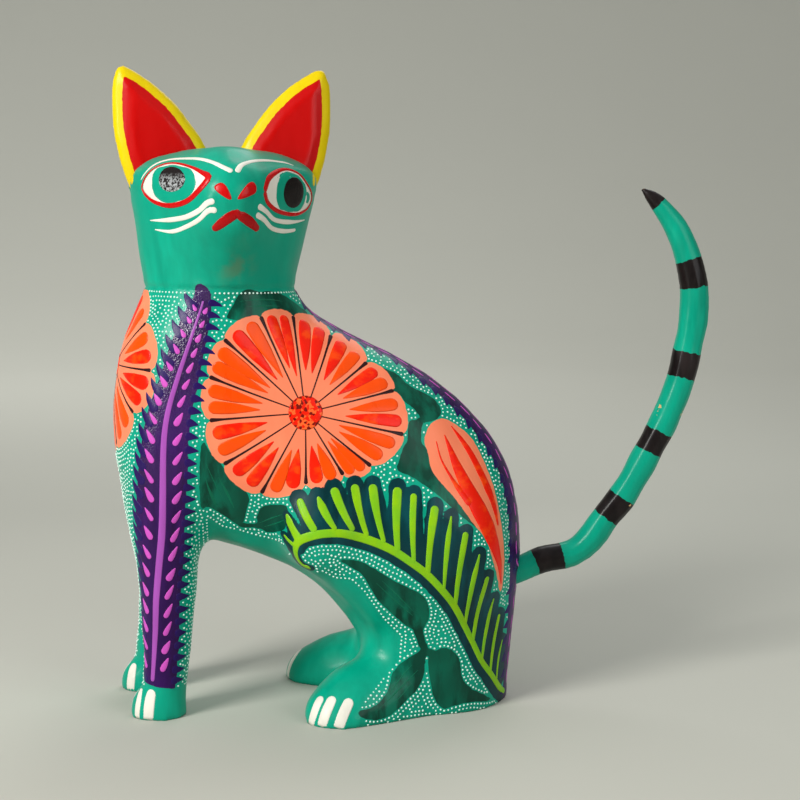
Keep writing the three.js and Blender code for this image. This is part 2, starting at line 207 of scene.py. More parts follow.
def eased(mesh, rounds, hold=None):
    """Smooths facets away without shrinking the form. hold is each vertex's share that stays."""
    count = len(mesh.vertices)
    place = np.empty(count * 3)
    mesh.vertices.foreach_get("co", place)
    place = place.reshape(-1, 3) / mm
    edges = np.empty(len(mesh.edges) * 2, np.int64)
    mesh.edges.foreach_get("vertices", edges)
    first, second = edges[0::2], edges[1::2]
    neighbours = (np.bincount(first, minlength=count) + np.bincount(second, minlength=count))[:, None]
    free = 1.0 if hold is None else (1 - hold(place))[:, None]
    for _ in range(rounds):
        for push in (0.62, -0.645):
            place += push * free * (paired(place, first, second, count) / neighbours - place)
    return place


def remeshed(source, name, voxel):
    """A fine even skin over a copy of a CAD node."""
    mesh = source.data.copy()
    bm = bmesh.new()
    bm.from_mesh(mesh)
    bmesh.ops.remove_doubles(bm, verts=bm.verts, dist=1e-6)
    bm.to_mesh(mesh)
    bm.free()
    rough = bpy.data.objects.new(name + "Rough", mesh)
    scene.collection.objects.link(rough)
    modifier = rough.modifiers.new("skin", "REMESH")
    modifier.mode, modifier.voxel_size, modifier.use_smooth_shade = "VOXEL", voxel * mm, True
    fine = bpy.data.meshes.new_from_object(rough.evaluated_get(bpy.context.evaluated_depsgraph_get()))
    bpy.data.objects.remove(rough)
    piece = bpy.data.objects.new(name, fine)
    scene.collection.objects.link(piece)
    fine.materials.clear()
    return piece


def setPlaces(piece, place):
    piece.data.vertices.foreach_set("co", (place * mm).astype(np.float32).ravel())
    piece.data.polygons.foreach_set("use_smooth", [True] * len(piece.data.polygons))
    piece.data.update()


def smooth(low, high, values):
    t = np.clip((values - low) / (high - low), 0, 1)
    return t * t * (3 - 2 * t)


def knifeMarks(place, fineness):
    """Shallow hollows that a knife and sandpaper leave, between -1 and 1."""
    waves = [((0.11, 0.05, 0.09), 0.3), ((-0.07, 0.13, 0.05), 1.7), ((0.05, -0.09, 0.16), 4.1), ((0.19, 0.11, -0.08), 2.2)]
    return sum(np.sin(place @ np.array(w) * 2.86 * fineness + s) for w, s in waves) / len(waves)


carving = {"voxel": 0.75, "rounds": 52, "neckLine": 116.4, "neckTilt": -0.012, "neckGroove": 0.5, "grooveWidth": 0.75, "knifeMarks": 0.16, "tailMarks": 0.3}

body = remeshed(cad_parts["body"], "catBody", carving["voxel"])


def keptAtNeck(place):
    off = np.abs(place[:, 2] - carving["neckLine"])
    return 0.9 * (1 - smooth(1.0, 4.0, off))


skinPlaces = eased(body.data, carving["rounds"], keptAtNeck)
start = np.empty(len(body.data.vertices) * 3)
body.data.vertices.foreach_get("co", start)
start = start.reshape(-1, 3) / mm
setPlaces(body, skinPlaces)
normals = np.array([v.normal for v in body.data.vertices])
line = carving["neckLine"] + carving["neckTilt"] * (skinPlaces[:, 0] + 50)
groove = carving["neckGroove"] * np.exp(-((skinPlaces[:, 2] - line) / carving["grooveWidth"]) ** 2)
skinPlaces += normals * (carving["knifeMarks"] * knifeMarks(skinPlaces, 1.0) - groove)[:, None]
flat = start[:, 2] < 0.35
skinPlaces[flat, 2] = 0
skinPlaces[:, 2] = np.maximum(skinPlaces[:, 2], 0)
setPlaces(body, skinPlaces)
skin = BVHTree.FromPolygons([Vector(p) for p in skinPlaces], [tuple(p.vertices) for p in body.data.polygons])
print("body skin", len(body.data.vertices), "points")


# Places on the skin
def onSkin(p):
    place, normal, _, _ = skin.find_nearest(Vector(p))
    return place, normal


def flank(side, x, z):
    """The point of a flank at x, z: side -1 is the photographed one."""
    hit = skin.ray_cast(Vector((x, side * 90, z)), Vector((0, -side, 0)))
    return hit[0] if hit[0] is not None else onSkin((x, side * 8, z))[0]


head = {"neckX": -53.413, "neckY": -0.522, "neckZ": 117.0, "turn": 6.0, "lean": 0.055, "cheeks": 27.195}


def face(hx, up):
    """The point of the face that is hx to the cat's left of its middle and up above the neck."""
    turned = math.radians(head["turn"])
    lean = head["neckX"] + head["lean"] * min(up, head["cheeks"])
    far = Vector((lean + hx * math.cos(turned) + 90 * math.sin(turned), head["neckY"] + hx * math.sin(turned) - 90 * math.cos(turned), head["neckZ"] + up))
    hit = skin.ray_cast(far, Vector((-math.sin(turned), math.cos(turned), 0)))
    return hit[0] if hit[0] is not None else onSkin((far.x - 88 * math.sin(turned), far.y + 88 * math.cos(turned), far.z))[0]


chest = {"axisX": -60.0, "round": 20.0}


def chestAt(s, z):
    """The point of the chest s round from its middle line."""
    angle = s / chest["round"]
    out = Vector((-math.cos(angle), -math.sin(angle), 0))
    hit = skin.ray_cast(Vector((chest["axisX"], 0, z)) + out * 60, -out)
    return hit[0] if hit[0] is not None else onSkin(Vector((chest["axisX"], 0, z)) + out * 20)[0]


def walked(p, direction, distance, level=False):
    """Steps along the skin; level keeps it at one height, round whatever stands there."""
    place, normal = onSkin(p)
    direction = Vector(direction)
    turning = normal.cross(Vector((0, 0, 1)))
    sense = 1 if turning.dot(direction) > 0 else -1
    steps = max(1, round(abs(distance) / 0.9))
    for _ in range(steps):
        along = (normal.cross(Vector((0, 0, 1))) * sense if level else direction - normal * direction.dot(normal)).normalized()
        place, normal = onSkin(place + along * (distance / steps))
    return place


# Paint laid on the skin
pots = {}


def pot(name):
    return pots.setdefault(name, {"verts": [], "faces": []})


def curved(points, spacing=0.9, closed=False):
    """Even points along a smooth curve through the given ones, and where each lies between them."""
    pts = [Vector(p) for p in points]
    count = len(pts)
    if count == 2 and not closed:
        pts, count = [pts[0], (pts[0] + pts[1]) / 2, pts[1]], 3
    dense, shares = [], []
    last = count if closed else count - 1
    for i in range(last):
        p1, p2 = pts[i], pts[(i + 1) % count]
        p0 = pts[(i - 1) % count] if closed or i > 0 else p1 * 2 - p2
        p3 = pts[(i + 2) % count] if closed or i + 2 < count else p2 * 2 - p1
        for k in range(12):
            t = k / 12
            dense.append(0.5 * ((2 * p1) + (p2 - p0) * t + (2 * p0 - 5 * p1 + 4 * p2 - p3) * t * t + (3 * p1 - p0 - 3 * p2 + p3) * t ** 3))
            shares.append((i + t) / last)
    dense.append(pts[0] if closed else pts[-1])
    shares.append(1.0)
    gone = [0.0]
    for a, b in zip(dense, dense[1:]):
        gone.append(gone[-1] + (b - a).length)
    total = gone[-1]
    steps = max(3, round(total / spacing))
    table = np.array([list(p) for p in dense])
    at = np.linspace(0, total, steps + 1)
    even = np.stack([np.interp(at, gone, table[:, k]) for k in range(table.shape[1])], 1)
    return even, np.interp(at, gone, shares), at, total


def stroke(potName, points, widths, height=0.07, cut=False):
    """One brush stroke: a low rounded ribbon on the skin. widths are full widths at even shares of its points; cut leaves its last end square."""
    widths = list(widths) if hasattr(widths, "__len__") else [widths, widths]
    line, shares, at, total = curved(points)
    if total < 0.15:
        return
    steps = np.linspace(0, 1, len(widths))
    wide = max(widths)
    rings = []
    ends = [np.interp(0, steps, widths) / 2, np.interp(1, steps, widths) / 2]
    stops = []
    for end in (0,) if cut else (0, 1):
        reach = min(ends[end], total * 0.45)
        for angle in (25, 50, 72):
            stops.append((reach * (1 - math.cos(math.radians(angle))), math.sin(math.radians(angle)), end))
    places = {}
    for away, factor, end in stops:
        places[away if end == 0 else total - away] = factor
    first, final = min(ends[0], total * 0.45), total if cut else total - min(ends[1], total * 0.45)
    for a in at:
        if first - 1e-6 <= a <= final + 1e-6:
            places[float(a)] = 1.0
    places[float(first)] = 1.0
    places[float(final)] = 1.0
    ordered = sorted(places)
    kept = [ordered[0]]
    for a in ordered[1:]:
        if a - kept[-1] > 0.03:
            kept.append(a)
    slim = wide < 0.7
    across = (-1.1, 0, 1.1) if slim else (-1.04, -0.78, 0, 0.78, 1.04)
    lift = (-0.02, 1, -0.02) if slim else (-0.02, 0.75, 1, 0.75, -0.02)
    under = (0,) if slim else (0.6, -0.6)
    for a in kept:
        p = Vector([float(np.interp(a, at, line[:, k])) for k in range(3)])
        q = Vector([float(np.interp(min(total, a + 0.3), at, line[:, k])) for k in range(3)])
        o = Vector([float(np.interp(max(0, a - 0.3), at, line[:, k])) for k in range(3)])
        width = float(np.interp(np.interp(a, at, shares), steps, widths)) / 2 * places[a]
        place, normal, _, _ = skin.find_nearest(p)
        side = (q - o).cross(normal)
        side = side.normalized() if side.length > 1e-9 else Vector((1, 0, 0))
        ring = []
        for u, up in zip(across, lift):
            spot, facing, _, _ = skin.find_nearest(place + side * (u * width))
            ring.append(spot + facing * (up * height if up > 0 else up))
        for u in under:
            spot, facing, _, _ = skin.find_nearest(place + side * (u * width))
            ring.append(spot - facing * 0.12)
        rings.append(ring)
    tips = []
    for a in (0.0, total):
        p = Vector([float(np.interp(a, at, line[:, k])) for k in range(3)])
        place, normal, _, _ = skin.find_nearest(p)
        tips.append(place - normal * 0.03)
    into = pot(potName)
    base = len(into["verts"])
    size = len(rings[0])
    into["verts"] += [tips[0]] + [v for ring in rings for v in ring] + [tips[1]]
    for i in range(len(rings) - 1):
        for j in range(size):
            k = (j + 1) % size
            a, b = base + 1 + i * size, base + 1 + (i + 1) * size
            into["faces"].append((a + j, b + j, b + k, a + k))
    end = base + 1 + (len(rings) - 1) * size
    for j in range(size):
        k = (j + 1) % size
        into["faces"].append((base, base + 1 + j, base + 1 + k))
        into["faces"].append((end + size, end + k, end + j))


def patch(potName, outline, centre, height=0.07):
    """A flat dab of paint inside a closed outline, star-shaped about its centre."""
    edge, _, _, _ = curved(outline, 0.7, True)
    edge = [Vector(p) for p in edge[:-1]]
    middle = Vector(centre)
    into = pot(potName)
    base = len(into["verts"])
    count = len(edge)
    spot, facing, _, _ = skin.find_nearest(middle)
    into["verts"].append(spot + facing * height)
    for share, up in ((0.35, height), (0.65, height), (0.9, height * 0.9), (1.0, -0.03), (0.92, -0.12)):
        for p in edge:
            spot, facing, _, _ = skin.find_nearest(middle.lerp(p, share))
            into["verts"].append(spot + facing * up)
    spot, facing, _, _ = skin.find_nearest(middle)
    into["verts"].append(spot - facing * 0.3)
    for j in range(count):
        k = (j + 1) % count
        into["faces"].append((base, base + 1 + j, base + 1 + k))
        for ring in range(4):
            a = base + 1 + ring * count
            into["faces"].append((a + j, a + count + j, a + count + k, a + k))
        a = base + 1 + 4 * count
        into["faces"].append((a + j, a + count, a + k))


# Broad painted areas are signed distances in millimetres, positive inside, kept as attributes of the skin
def insideBy(outline, points):
    """Signed distance of 2-D points from a closed outline, positive inside."""
    a = np.array(outline, float)
    b = np.roll(a, -1, 0)
    near = np.full(len(points), 1e9)
    inside = np.zeros(len(points), bool)
    for (ax, az), (bx, bz) in zip(a, b):
        ex, ez = bx - ax, bz - az
        length = ex * ex + ez * ez
        if length < 1e-12:
            continue
        px, pz = points[:, 0] - ax, points[:, 1] - az
        t = np.clip((px * ex + pz * ez) / length, 0, 1)
        near = np.minimum(near, (px - t * ex) ** 2 + (pz - t * ez) ** 2)
        if ez != 0:
            crosses = ((az > points[:, 1]) != (bz > points[:, 1])) & (points[:, 0] < ax + (points[:, 1] - az) * ex / ez)
            inside ^= crosses
    near = np.sqrt(near)
    return np.where(inside, near, -near)


def alongBy(path, radii, points):
    """Signed distance from a line of changing half-width, positive inside; works in 2-D and 3-D."""
    path, best = np.array(path, float), np.full(len(points), -1e9)
    for i in range(len(path) - 1):
        a, b = path[i], path[i + 1]
        e = b - a
        t = np.clip((points - a) @ e / max(e @ e, 1e-12), 0, 1)
        gap = np.linalg.norm(points - a - t[:, None] * e, axis=1)
        best = np.maximum(best, radii[i] + (radii[i + 1] - radii[i]) * t - gap)
    return best


def rounded(outline):
    even, _, _, _ = curved([(x, z, 0) for x, z in outline], 0.6, True)
    return [(p[0], p[1]) for p in even[:-1]]


flower = {
    "centre": (-30.7, 83.9),
    "notches": [(-42.0, 108.8), (-33.5, 108.6), (-23.4, 103.3), (-14.0, 96.2), (-7.1, 88.9), (-4.9, 77.7), (-13.7, 69.9), (-21.0, 67.8),
                (-30.7, 65.4), (-42.3, 62.7), (-51.9, 70.7), (-55.4, 82.3), (-55.3, 93.6), (-51.4, 103.2)],
    "bulge": 2.2, "disc": 4.6, "line": 0.4, "lineEnd": 1.35, "petalStroke": 3.7,
    "colours": "rr rr ro ro or oo oo or ro rr or oo oo ro",  # each petal's two strokes, red or orange
}
chestFlower = {
    "centre": (0.0, 95.5),
    "notches": [(0.0, 115.5), (15.3, 107.2), (19.6, 95.2), (14.6, 83.9), (6.0, 74.5), (-6.0, 74.5), (-14.6, 83.9), (-19.6, 95.2), (-15.3, 107.2)],
    "bulge": 3.0, "disc": 3.4, "line": 0.4, "lineEnd": 1.2, "petalStroke": 3.9,
    "colours": "ro or rr oo or rr oo ro or",
}
leaves = [
    [(-51.2, 109.2), (-49.5, 112.2), (-47.8, 115.2), (-45.3, 116.4), (-42.4, 115.7), (-39.9, 115.8), (-36.5, 114.8), (-33.9, 113.2), (-31.3, 111.1),
     (-29.5, 109.2), (-31.4, 106.9), (-34.0, 106.4), (-38.2, 107.5), (-42.0, 106.4), (-45.8, 107.5), (-49.1, 108.6)],
    [(-11.4, 95.6), (-8.5, 94.5), (-5.1, 92.8), (-2.7, 90.4), (0.3, 88.6), (3.7, 86.9), (5.8, 84.8), (6.5, 82.8), (5.5, 81.3), (3.2, 80.5), (1.1, 80.8),
     (-0.9, 83.7), (-3.4, 85.7), (-5.4, 88.2), (-8.0, 89.2), (-11.0, 93.0)],
    [(-2.8, 80.6), (-1.1, 81.2), (1.0, 81.2), (0.5, 77.7), (0.4, 75.3), (2.0, 73.3), (2.5, 70.2), (3.4, 67.4), (5.8, 64.6), (9.1, 61.7), (12.9, 57.9),
     (16.7, 53.2), (18.4, 49.7), (14.9, 52.6), (10.2, 56.5), (6.1, 60.3), (2.0, 63.6), (-2.4, 66.5), (-6.3, 68.5), (-5.8, 70.9), (-4.7, 74.0), (-3.4, 75.9)],
    [(-58.1, 75.9), (-55.5, 73.5), (-52.0, 69.2), (-49.3, 65.4), (-45.9, 61.6), (-46.4, 57.7), (-48.3, 52.8), (-52.4, 55.6), (-56.5, 58.4), (-58.7, 59.2)],
    [(-48.3, 53.5), (-44.1, 53.4), (-43.7, 55.7), (-42.5, 58.1), (-39.8, 59.1), (-36.0, 59.1), (-35.6, 56.5), (-36.6, 52.7), (-40.5, 50.8), (-43.5, 52.0), (-48.3, 52.3)],
    [(-22.0, 45.0), (-17.6, 44.9), (-13.4, 43.0), (-8.7, 39.9), (-3.9, 37.3), (0.3, 34.7), (2.2, 30.1), (1.3, 26.0), (-0.8, 24.4), (-4.1, 26.0), (-7.8, 29.4),
     (-11.5, 33.3), (-13.9, 37.2), (-16.3, 41.1)],
    [(1.1, 19.1), (-1.6, 17.5), (-5.2, 15.1), (-7.8, 12.4), (-9.1, 8.8), (-11.7, 5.8), (-14.8, 4.7), (-17.2, 4.4), (-16.7, 3.0), (-13.0, 1.6), (-8.7, 2.1),
     (-4.9, 4.8), (-1.1, 7.9), (0.8, 11.3), (1.2, 15.0)],
    [(3.0, 17.5), (6.3, 19.4), (9.4, 17.8), (11.1, 14.4), (11.6, 10.5), (14.1, 7.0), (21.1, 1.9), (14.1, 2.9), (9.6, 2.5), (6.5, 1.8), (4.0, 4.8), (2.7, 9.9), (2.2, 15.0)],
]
leafStem = [(-0.8, 25.0), (0.0, 22.1), (1.4, 18.5), (3.3, 17.5)]
bud = {
    "outline": [(6.1, 81.1), (8.8, 80.3), (12.0, 78.1), (14.8, 75.5), (17.1, 71.7), (18.7, 68.0), (20.1, 64.2), (21.3, 60.1), (22.0, 56.1), (22.8, 51.9),
                (23.6, 44.3), (23.7, 37.9), (22.9, 32.8), (21.3, 38.1), (19.6, 43.7), (17.6, 48.9), (13.8, 54.1), (9.0, 60.7), (4.3, 66.1), (2.7, 69.0),
                (2.2, 72.5), (1.3, 75.3), (1.8, 77.6), (3.2, 79.9)],
    "strokes": [([(7.0, 76.9), (8.3, 73.6), (10.2, 68.6), (12.9, 63.0), (15.8, 57.5), (18.5, 52.0), (20.6, 46.6), (22.2, 40.8), (22.9, 35.2)],
                 (0.3, 1.4, 3.0, 4.5, 5.6, 5.7, 4.4, 2.5, 0.5)),
                ([(9.1, 79.0), (11.6, 75.7), (14.4, 71.5), (16.9, 66.6), (19.0, 61.8), (20.6, 57.2), (21.6, 52.0)], (0.3, 1.4, 2.2, 2.7, 2.9, 2.3, 1.0)),
                ([(4.6, 75.4), (5.8, 70.6), (8.2, 66.2), (10.6, 62.5), (13.4, 58.6)], (0.3, 0.5, 0.9, 1.8, 2.2))],
}
fern = {
    "midrib": [(-29.6, 42.4), (-31.7, 43.0), (-33.2, 45.0), (-33.7, 47.7), (-32.9, 50.1), (-30.2, 51.6), (-26.4, 52.5), (-21.7, 52.5), (-17.0, 51.3), (-12.2, 49.6),
               (-7.5, 47.3), (-2.8, 44.1), (1.4, 40.7), (5.8, 35.8), (9.0, 31.3), (12.1, 25.2), (14.6, 20.0), (17.3, 14.3), (20.6, 9.3), (23.3, 4.7), (25.3, 2.3)],
    "midribWidths": (2.3, 1.7, 1.7, 2.0, 2.6, 2.5, 2.3, 2.3, 2.4, 2.4, 2.3, 2.2, 2.1, 2.0, 1.9, 1.8, 1.7, 1.7, 1.7, 1.9, 1.6),
    "leaflets": [  # foot, tip, width at the foot, past the middle and at the tip
        ((-33.6, 48.6), (-36.6, 51.2), (1.5, 1.0, 0.4)), ((-32.4, 50.2), (-35.9, 57.0), (3.0, 2.2, 0.7)), ((-28.4, 53.0), (-32.6, 61.3), (2.0, 2.3, 1.9)),
        ((-23.0, 53.4), (-27.6, 62.0), (1.2, 2.2, 0.7)), ((-18.3, 53.0), (-23.5, 64.3), (1.5, 2.2, 2.4)), ((-14.7, 51.4), (-17.9, 65.1), (1.3, 1.9, 2.3)),
        ((-10.2, 49.6), (-13.1, 65.0), (1.2, 1.9, 2.4)), ((-6.6, 47.2), (-6.4, 64.1), (1.5, 2.1, 2.5)), ((-2.3, 44.0), (-2.1, 62.4), (1.1, 1.7, 1.8)),
        ((1.4, 40.6), (3.6, 59.1), (1.4, 1.8, 2.3)), ((5.9, 36.6), (7.9, 56.2), (0.8, 1.5, 0.5)), ((9.1, 31.2), (11.9, 51.8), (1.2, 1.6, 1.8)),
        ((12.3, 25.6), (15.7, 45.5), (1.0, 1.6, 0.5)), ((14.6, 20.0), (18.3, 38.8), (1.1, 1.6, 1.7)), ((17.5, 14.4), (20.7, 31.6), (0.9, 1.4, 0.5)),
        ((20.2, 9.8), (22.8, 26.3), (0.9, 1.3, 1.2)), ((22.3, 6.9), (24.0, 18.4), (0.6, 0.9, 0.4))],
    "halo": 2.7, "shade": 1.5,   # dark blade round each leaflet, and under the midrib
}
plume = {
    "midrib": [(-57.4, 116.0), (-57.1, 113.7), (-60.4, 103.9), (-64.2, 92.9), (-66.6, 85.0), (-67.8, 77.9), (-68.3, 67.5), (-68.8, 53.2), (-70.5, 37.3), (-71.3, 24.4), (-72.2, 13.4), (-72.4, 10.7)],
    "rightWidths": [(118, 1.4), (113, 2.3), (108, 3.5), (100, 4.7), (92, 5.7), (83, 6.3), (72, 6.6), (56, 6.0), (43, 6.4), (30, 6.4), (17, 6.4), (8, 6.2)],
    "leftWidths": [(118, 1.4), (113, 3.4), (108, 4.4), (100, 4.7), (92, 4.8), (83, 5.6), (72, 6.8), (56, 8.4), (43, 7.2), (30, 5.6), (17, 4.8), (8, 3.4)],
    "tooth": 2.7, "toothEvery": {1: 3.4, -1: 4.0}, "foot": (8.7, 0.15, -67.0),  # lower edge: height, slope to either side, lowest place
    "ribWidths": (0.5, 0.9, 1.3, 1.5, 1.7, 1.9, 2.0, 2.0, 1.9, 1.6, 1.3),
    # by height above the ground: gap between dashes, their inner and outer distance from the midrib, rise and width
    "dashes": [(8, 5.2, 2.5, 4.6, 3.6, 1.8), (70, 5.2, 2.8, 5.2, 3.7, 1.8), (90, 4.9, 2.3, 4.2, 2.9, 1.7), (105, 4.2, 1.6, 2.8, 2.2, 1.4), (116, 3.4, 0.7, 1.3, 1.6, 0.9)],
}
backBand = {
    "spine": [(-31.0, 114.2), (-23.2, 108.4), (-8.5, 102.2), (4.7, 94.2), (16.0, 84.0), (24.6, 73.1), (28.9, 61.6), (30.6, 47.2), (30.3, 32.7), (29.6, 18.1), (28.4, 2.0)],
    "halfWidths": [3.5, 5.5, 5.6, 8.0, 9.4, 10.0, 10.8, 12.6, 11.4, 9.6, 8.2],
    "tooth": 1.9, "toothEvery": 4.7, "dashEvery": 5.4, "dashLength": 3.8,
}
dotted = {
    "belly": [(-57.0, 8.5), (-57.0, 55.6), (-53.2, 52.2), (-48.6, 51.0), (-43.3, 49.4), (-37.6, 48.4), (-34.6, 44.0), (-29.9, 40.4), (-26.5, 41.6), (-23.1, 39.4),
              (-18.9, 39.4), (-15.5, 36.0), (-9.6, 27.2), (-5.2, 22.6), (-5.7, 16.2), (-12.0, 9.9), (-17.8, 4.4), (-15.5, 0.2)],
    "spacing": 1.14, "rowGap": 1.06, "firstRow": 0.55, "width": 0.58, "height": 0.22, "seed": 7,
}
legShift = [(0, -5.0), (4.5, -5.0), (19, -3.5), (34, -2.0), (49, 0.0), (120, 0.0)]  # how far ahead the far front leg stands, by height


def legAhead(side, z):
    return float(np.interp(z, *zip(*legShift))) if side > 0 else 0.0


def petalEdge(look):
    """The scalloped outline of a flower, from notch to notch."""
    cx, cz = look["centre"]
    notches = look["notches"]
    outline = []
    for (ax, az), (bx, bz) in zip(notches, notches[1:] + notches[:1]):
        for t in (0.0, 0.06, 0.16, 0.3, 0.5, 0.7, 0.84, 0.94):
            x, z = ax + (bx - ax) * t - cx, az + (bz - az) * t - cz
            reach = math.hypot(x, z)
            grow = (math.hypot(ax - cx, az - cz) * (1 - t) + math.hypot(bx - cx, bz - cz) * t + look["bulge"] * math.sqrt(max(0, 1 - (2 * t - 1) ** 2))) / reach
            outline.append((cx + x * grow, cz + z * grow))
    return outline


def bandLine(look, sideways=0.0):
    return [onSkin((x, 0.0 + sideways, z))[0] for x, z in look["spine"]]


places = skinPlaces
flankPlaces = places[:, [0, 2]]
sideOf = np.where(places[:, 1] > -0.5, 1, -1)
chestAngle = np.arctan2(-places[:, 1], chest["axisX"] - places[:, 0])
chestPlaces = np.stack([chestAngle * chest["round"], places[:, 2]], 1)
onFlank = np.abs(places[:, 1]) > 2.0
skinNormals = np.array([v.normal for v in body.data.vertices])
facingOut = (skinNormals[:, 1] * sideOf > -0.05) & onFlank

areas = {}
flowerOutline = petalEdge(flower)
chestOutline = petalEdge(chestFlower)
leafOutlines = [rounded(leaf) for leaf in leaves]
budOutline = rounded(bud["outline"])


def flankAreas(points):
    """Each flank area's signed distance for points (x, z)."""
    leaf = np.max([insideBy(o, points) for o in leafOutlines] + [alongBy(leafStem, [1.3, 1.1, 1.0, 1.2], points)], 0)
    petal = np.maximum(insideBy(flowerOutline, points), insideBy(budOutline, points))
    blade = np.full(len(points), -1e9)
    for base, tip, width in fern["leaflets"]:
        blade = np.maximum(blade, alongBy([base, tip], [fern["halo"], fern["halo"] * 0.5 + width[1] / 2 if tip[0] > -35 else 1.0], points))
    shadow = [(x - 0.9, z - 1.3) for x, z in fern["midrib"][5:]]
    blade = np.maximum(blade, alongBy(shadow, [fern["shade"]] * len(shadow), points))
    blade = np.maximum(blade, alongBy(fern["midrib"][:6], [1.2] * 6, points) - 0.1)
    return {"leafEdge": leaf, "petalEdge": petal, "fernEdge": blade}


for key, value in flankAreas(flankPlaces).items():
    areas[key] = np.where(facingOut, value, -5.0)
chestOn = (places[:, 0] < chest["axisX"]) & (places[:, 2] < 119)
areas["petalEdge"] = np.maximum(areas["petalEdge"], np.where(chestOn, insideBy(chestOutline, chestPlaces), -5.0))
areas["petalEdge"] = np.where(places[:, 2] > line - 0.2, -5.0, areas["petalEdge"])

midribs = {}
areas["plumeEdge"] = np.full(len(places), -5.0)
for side in (-1, 1):
    path = [flank(side, x + legAhead(side, z), z) for x, z in plume["midrib"]]
    even, _, _, _ = curved(path, 1.5)
    midribs[side] = [onSkin(p)[0] for p in even]
    track = np.array([list(p) for p in midribs[side]])
    near = np.full(len(places), 1e9)
    spot = np.zeros((len(places), 3))
    for a, b in zip(track, track[1:]):
        e = b - a
        t = np.clip((places - a) @ e / (e @ e), 0, 1)
        q = a + t[:, None] * e
        gap = np.linalg.norm(places - q, axis=1)
        closer = gap < near
        near = np.where(closer, gap, near)
        spot[closer] = q[closer]
    right = places[:, 0] > spot[:, 0]
    wide = np.where(right, np.interp(spot[:, 2], *zip(*reversed(plume["rightWidths"]))), np.interp(spot[:, 2], *zip(*reversed(plume["leftWidths"]))))
    areas["plumeEdge"] = np.maximum(areas["plumeEdge"], np.where((sideOf == side) | (near < 4), wide - near, -5.0))
footHeight, footSlope, footMiddle = plume["foot"]
foot = footHeight + footSlope * np.abs(places[:, 0] - np.interp(places[:, 2], *zip(*legShift)) * (sideOf > 0) - footMiddle)
areas["plumeEdge"] = np.minimum(areas["plumeEdge"], places[:, 2] - foot)
areas["glazeEdge"] = areas["plumeEdge"].copy()
spineLine = bandLine(backBand)
areas["bandEdge"] = alongBy([list(p) for p in spineLine], backBand["halfWidths"], places)
areas["bandEdge"] = np.where(places[:, 2] > line - 0.3, -5.0, areas["bandEdge"])
areas["plumeEdge"] = np.maximum(areas["plumeEdge"], areas.pop("bandEdge"))
for key, value in areas.items():
    attribute = body.data.attributes.new(key, "FLOAT", "POINT")
    attribute.data.foreach_set("value", np.clip(value, -5, 5).astype(np.float32))
print("painted areas", len(areas))


# Flowers
def paintFlower(look, at, seed):
    chance = random.Random(seed)
    cx, cz = look["centre"]
    notches = look["notches"]
    for (ax, az), (bx, bz), colours in zip(notches, notches[1:] + notches[:1], look["colours"].split()):
        for share, colour in zip((0.3, 0.7), colours):
            x, z = ax + (bx - ax) * share - cx, az + (bz - az) * share - cz
            reach = math.hypot(x, z)
            outer = (reach + look["bulge"] * 0.8 - 0.95) / reach
            pull = 0.5 + (share - 0.5) * 0.85
            mx, mz = ax + (bx - ax) * pull - cx, az + (bz - az) * pull - cz
            inner = look["disc"] / reach + 0.24 + chance.uniform(-0.04, 0.06)
            points = [at(cx + (x * (1 - t) + mx * t) * (outer + (inner - outer) * t), cz + (z * (1 - t) + mz * t) * (outer + (inner - outer) * t)) for t in (0, 0.25, 0.5, 0.75, 1)]
            gap = math.hypot(bx - ax, bz - az)
            wide = min(look["petalStroke"], gap * 0.375) * chance.uniform(0.93, 1.05)
            stroke("petalOrange" if colour == "o" else "petalRed", points, (wide, wide, wide * 0.84, wide * 0.5, 0.25), 0.08)
    for x, z in notches:
        start = look["disc"] * 0.9 / math.hypot(x - cx, z - cz)
        sway = chance.uniform(-0.35, 0.35)
        points = [at(cx + (x - cx) * t - (z - cz) * 0.02 * sway * math.sin(math.pi * t), cz + (z - cz) * t + (x - cx) * 0.02 * sway * math.sin(math.pi * t)) for t in np.linspace(start, 1.02, 7)]
        stroke("petalLine", points, [look["line"] * k for k in (0.85, 0.95, 1.05, 1.2, 1.4, 1.6)] + [look["lineEnd"]], 0.06)
    disc = [at(cx + look["disc"] * (1 + chance.uniform(-0.04, 0.04)) * math.cos(a), cz + look["disc"] * math.sin(a)) for a in np.linspace(0, 2 * math.pi, 13)[:-1]]
    patch("flowerDisc", disc, at(cx, cz), 0.16)


for side in (-1, 1):
    paintFlower(flower, lambda x, z: flank(side, x, z), 3 + side)
    for points, widths in bud["strokes"]:
        stroke("petalRed", [flank(side, x, z) for x, z in points], widths, 0.08)
paintFlower(chestFlower, chestAt, 11)

# Fern: midrib and leaflets
for side in (-1, 1):
    stroke("fernLime", [flank(side, x, z) for x, z in fern["midrib"]], fern["midribWidths"], 0.09)
    for (bx, bz), (tx, tz), width in fern["leaflets"]:
        bend = 0.4
        points = [flank(side, bx + (tx - bx) * t - bend * math.sin(math.pi * t), bz + (tz - bz) * t) for t in (0, 0.33, 0.66, 1)]
        foot, middle, tip = width
        stroke("fernLime", points, (foot, (foot + middle) / 2, middle, max(middle, tip) * 1.02, tip), 0.085)

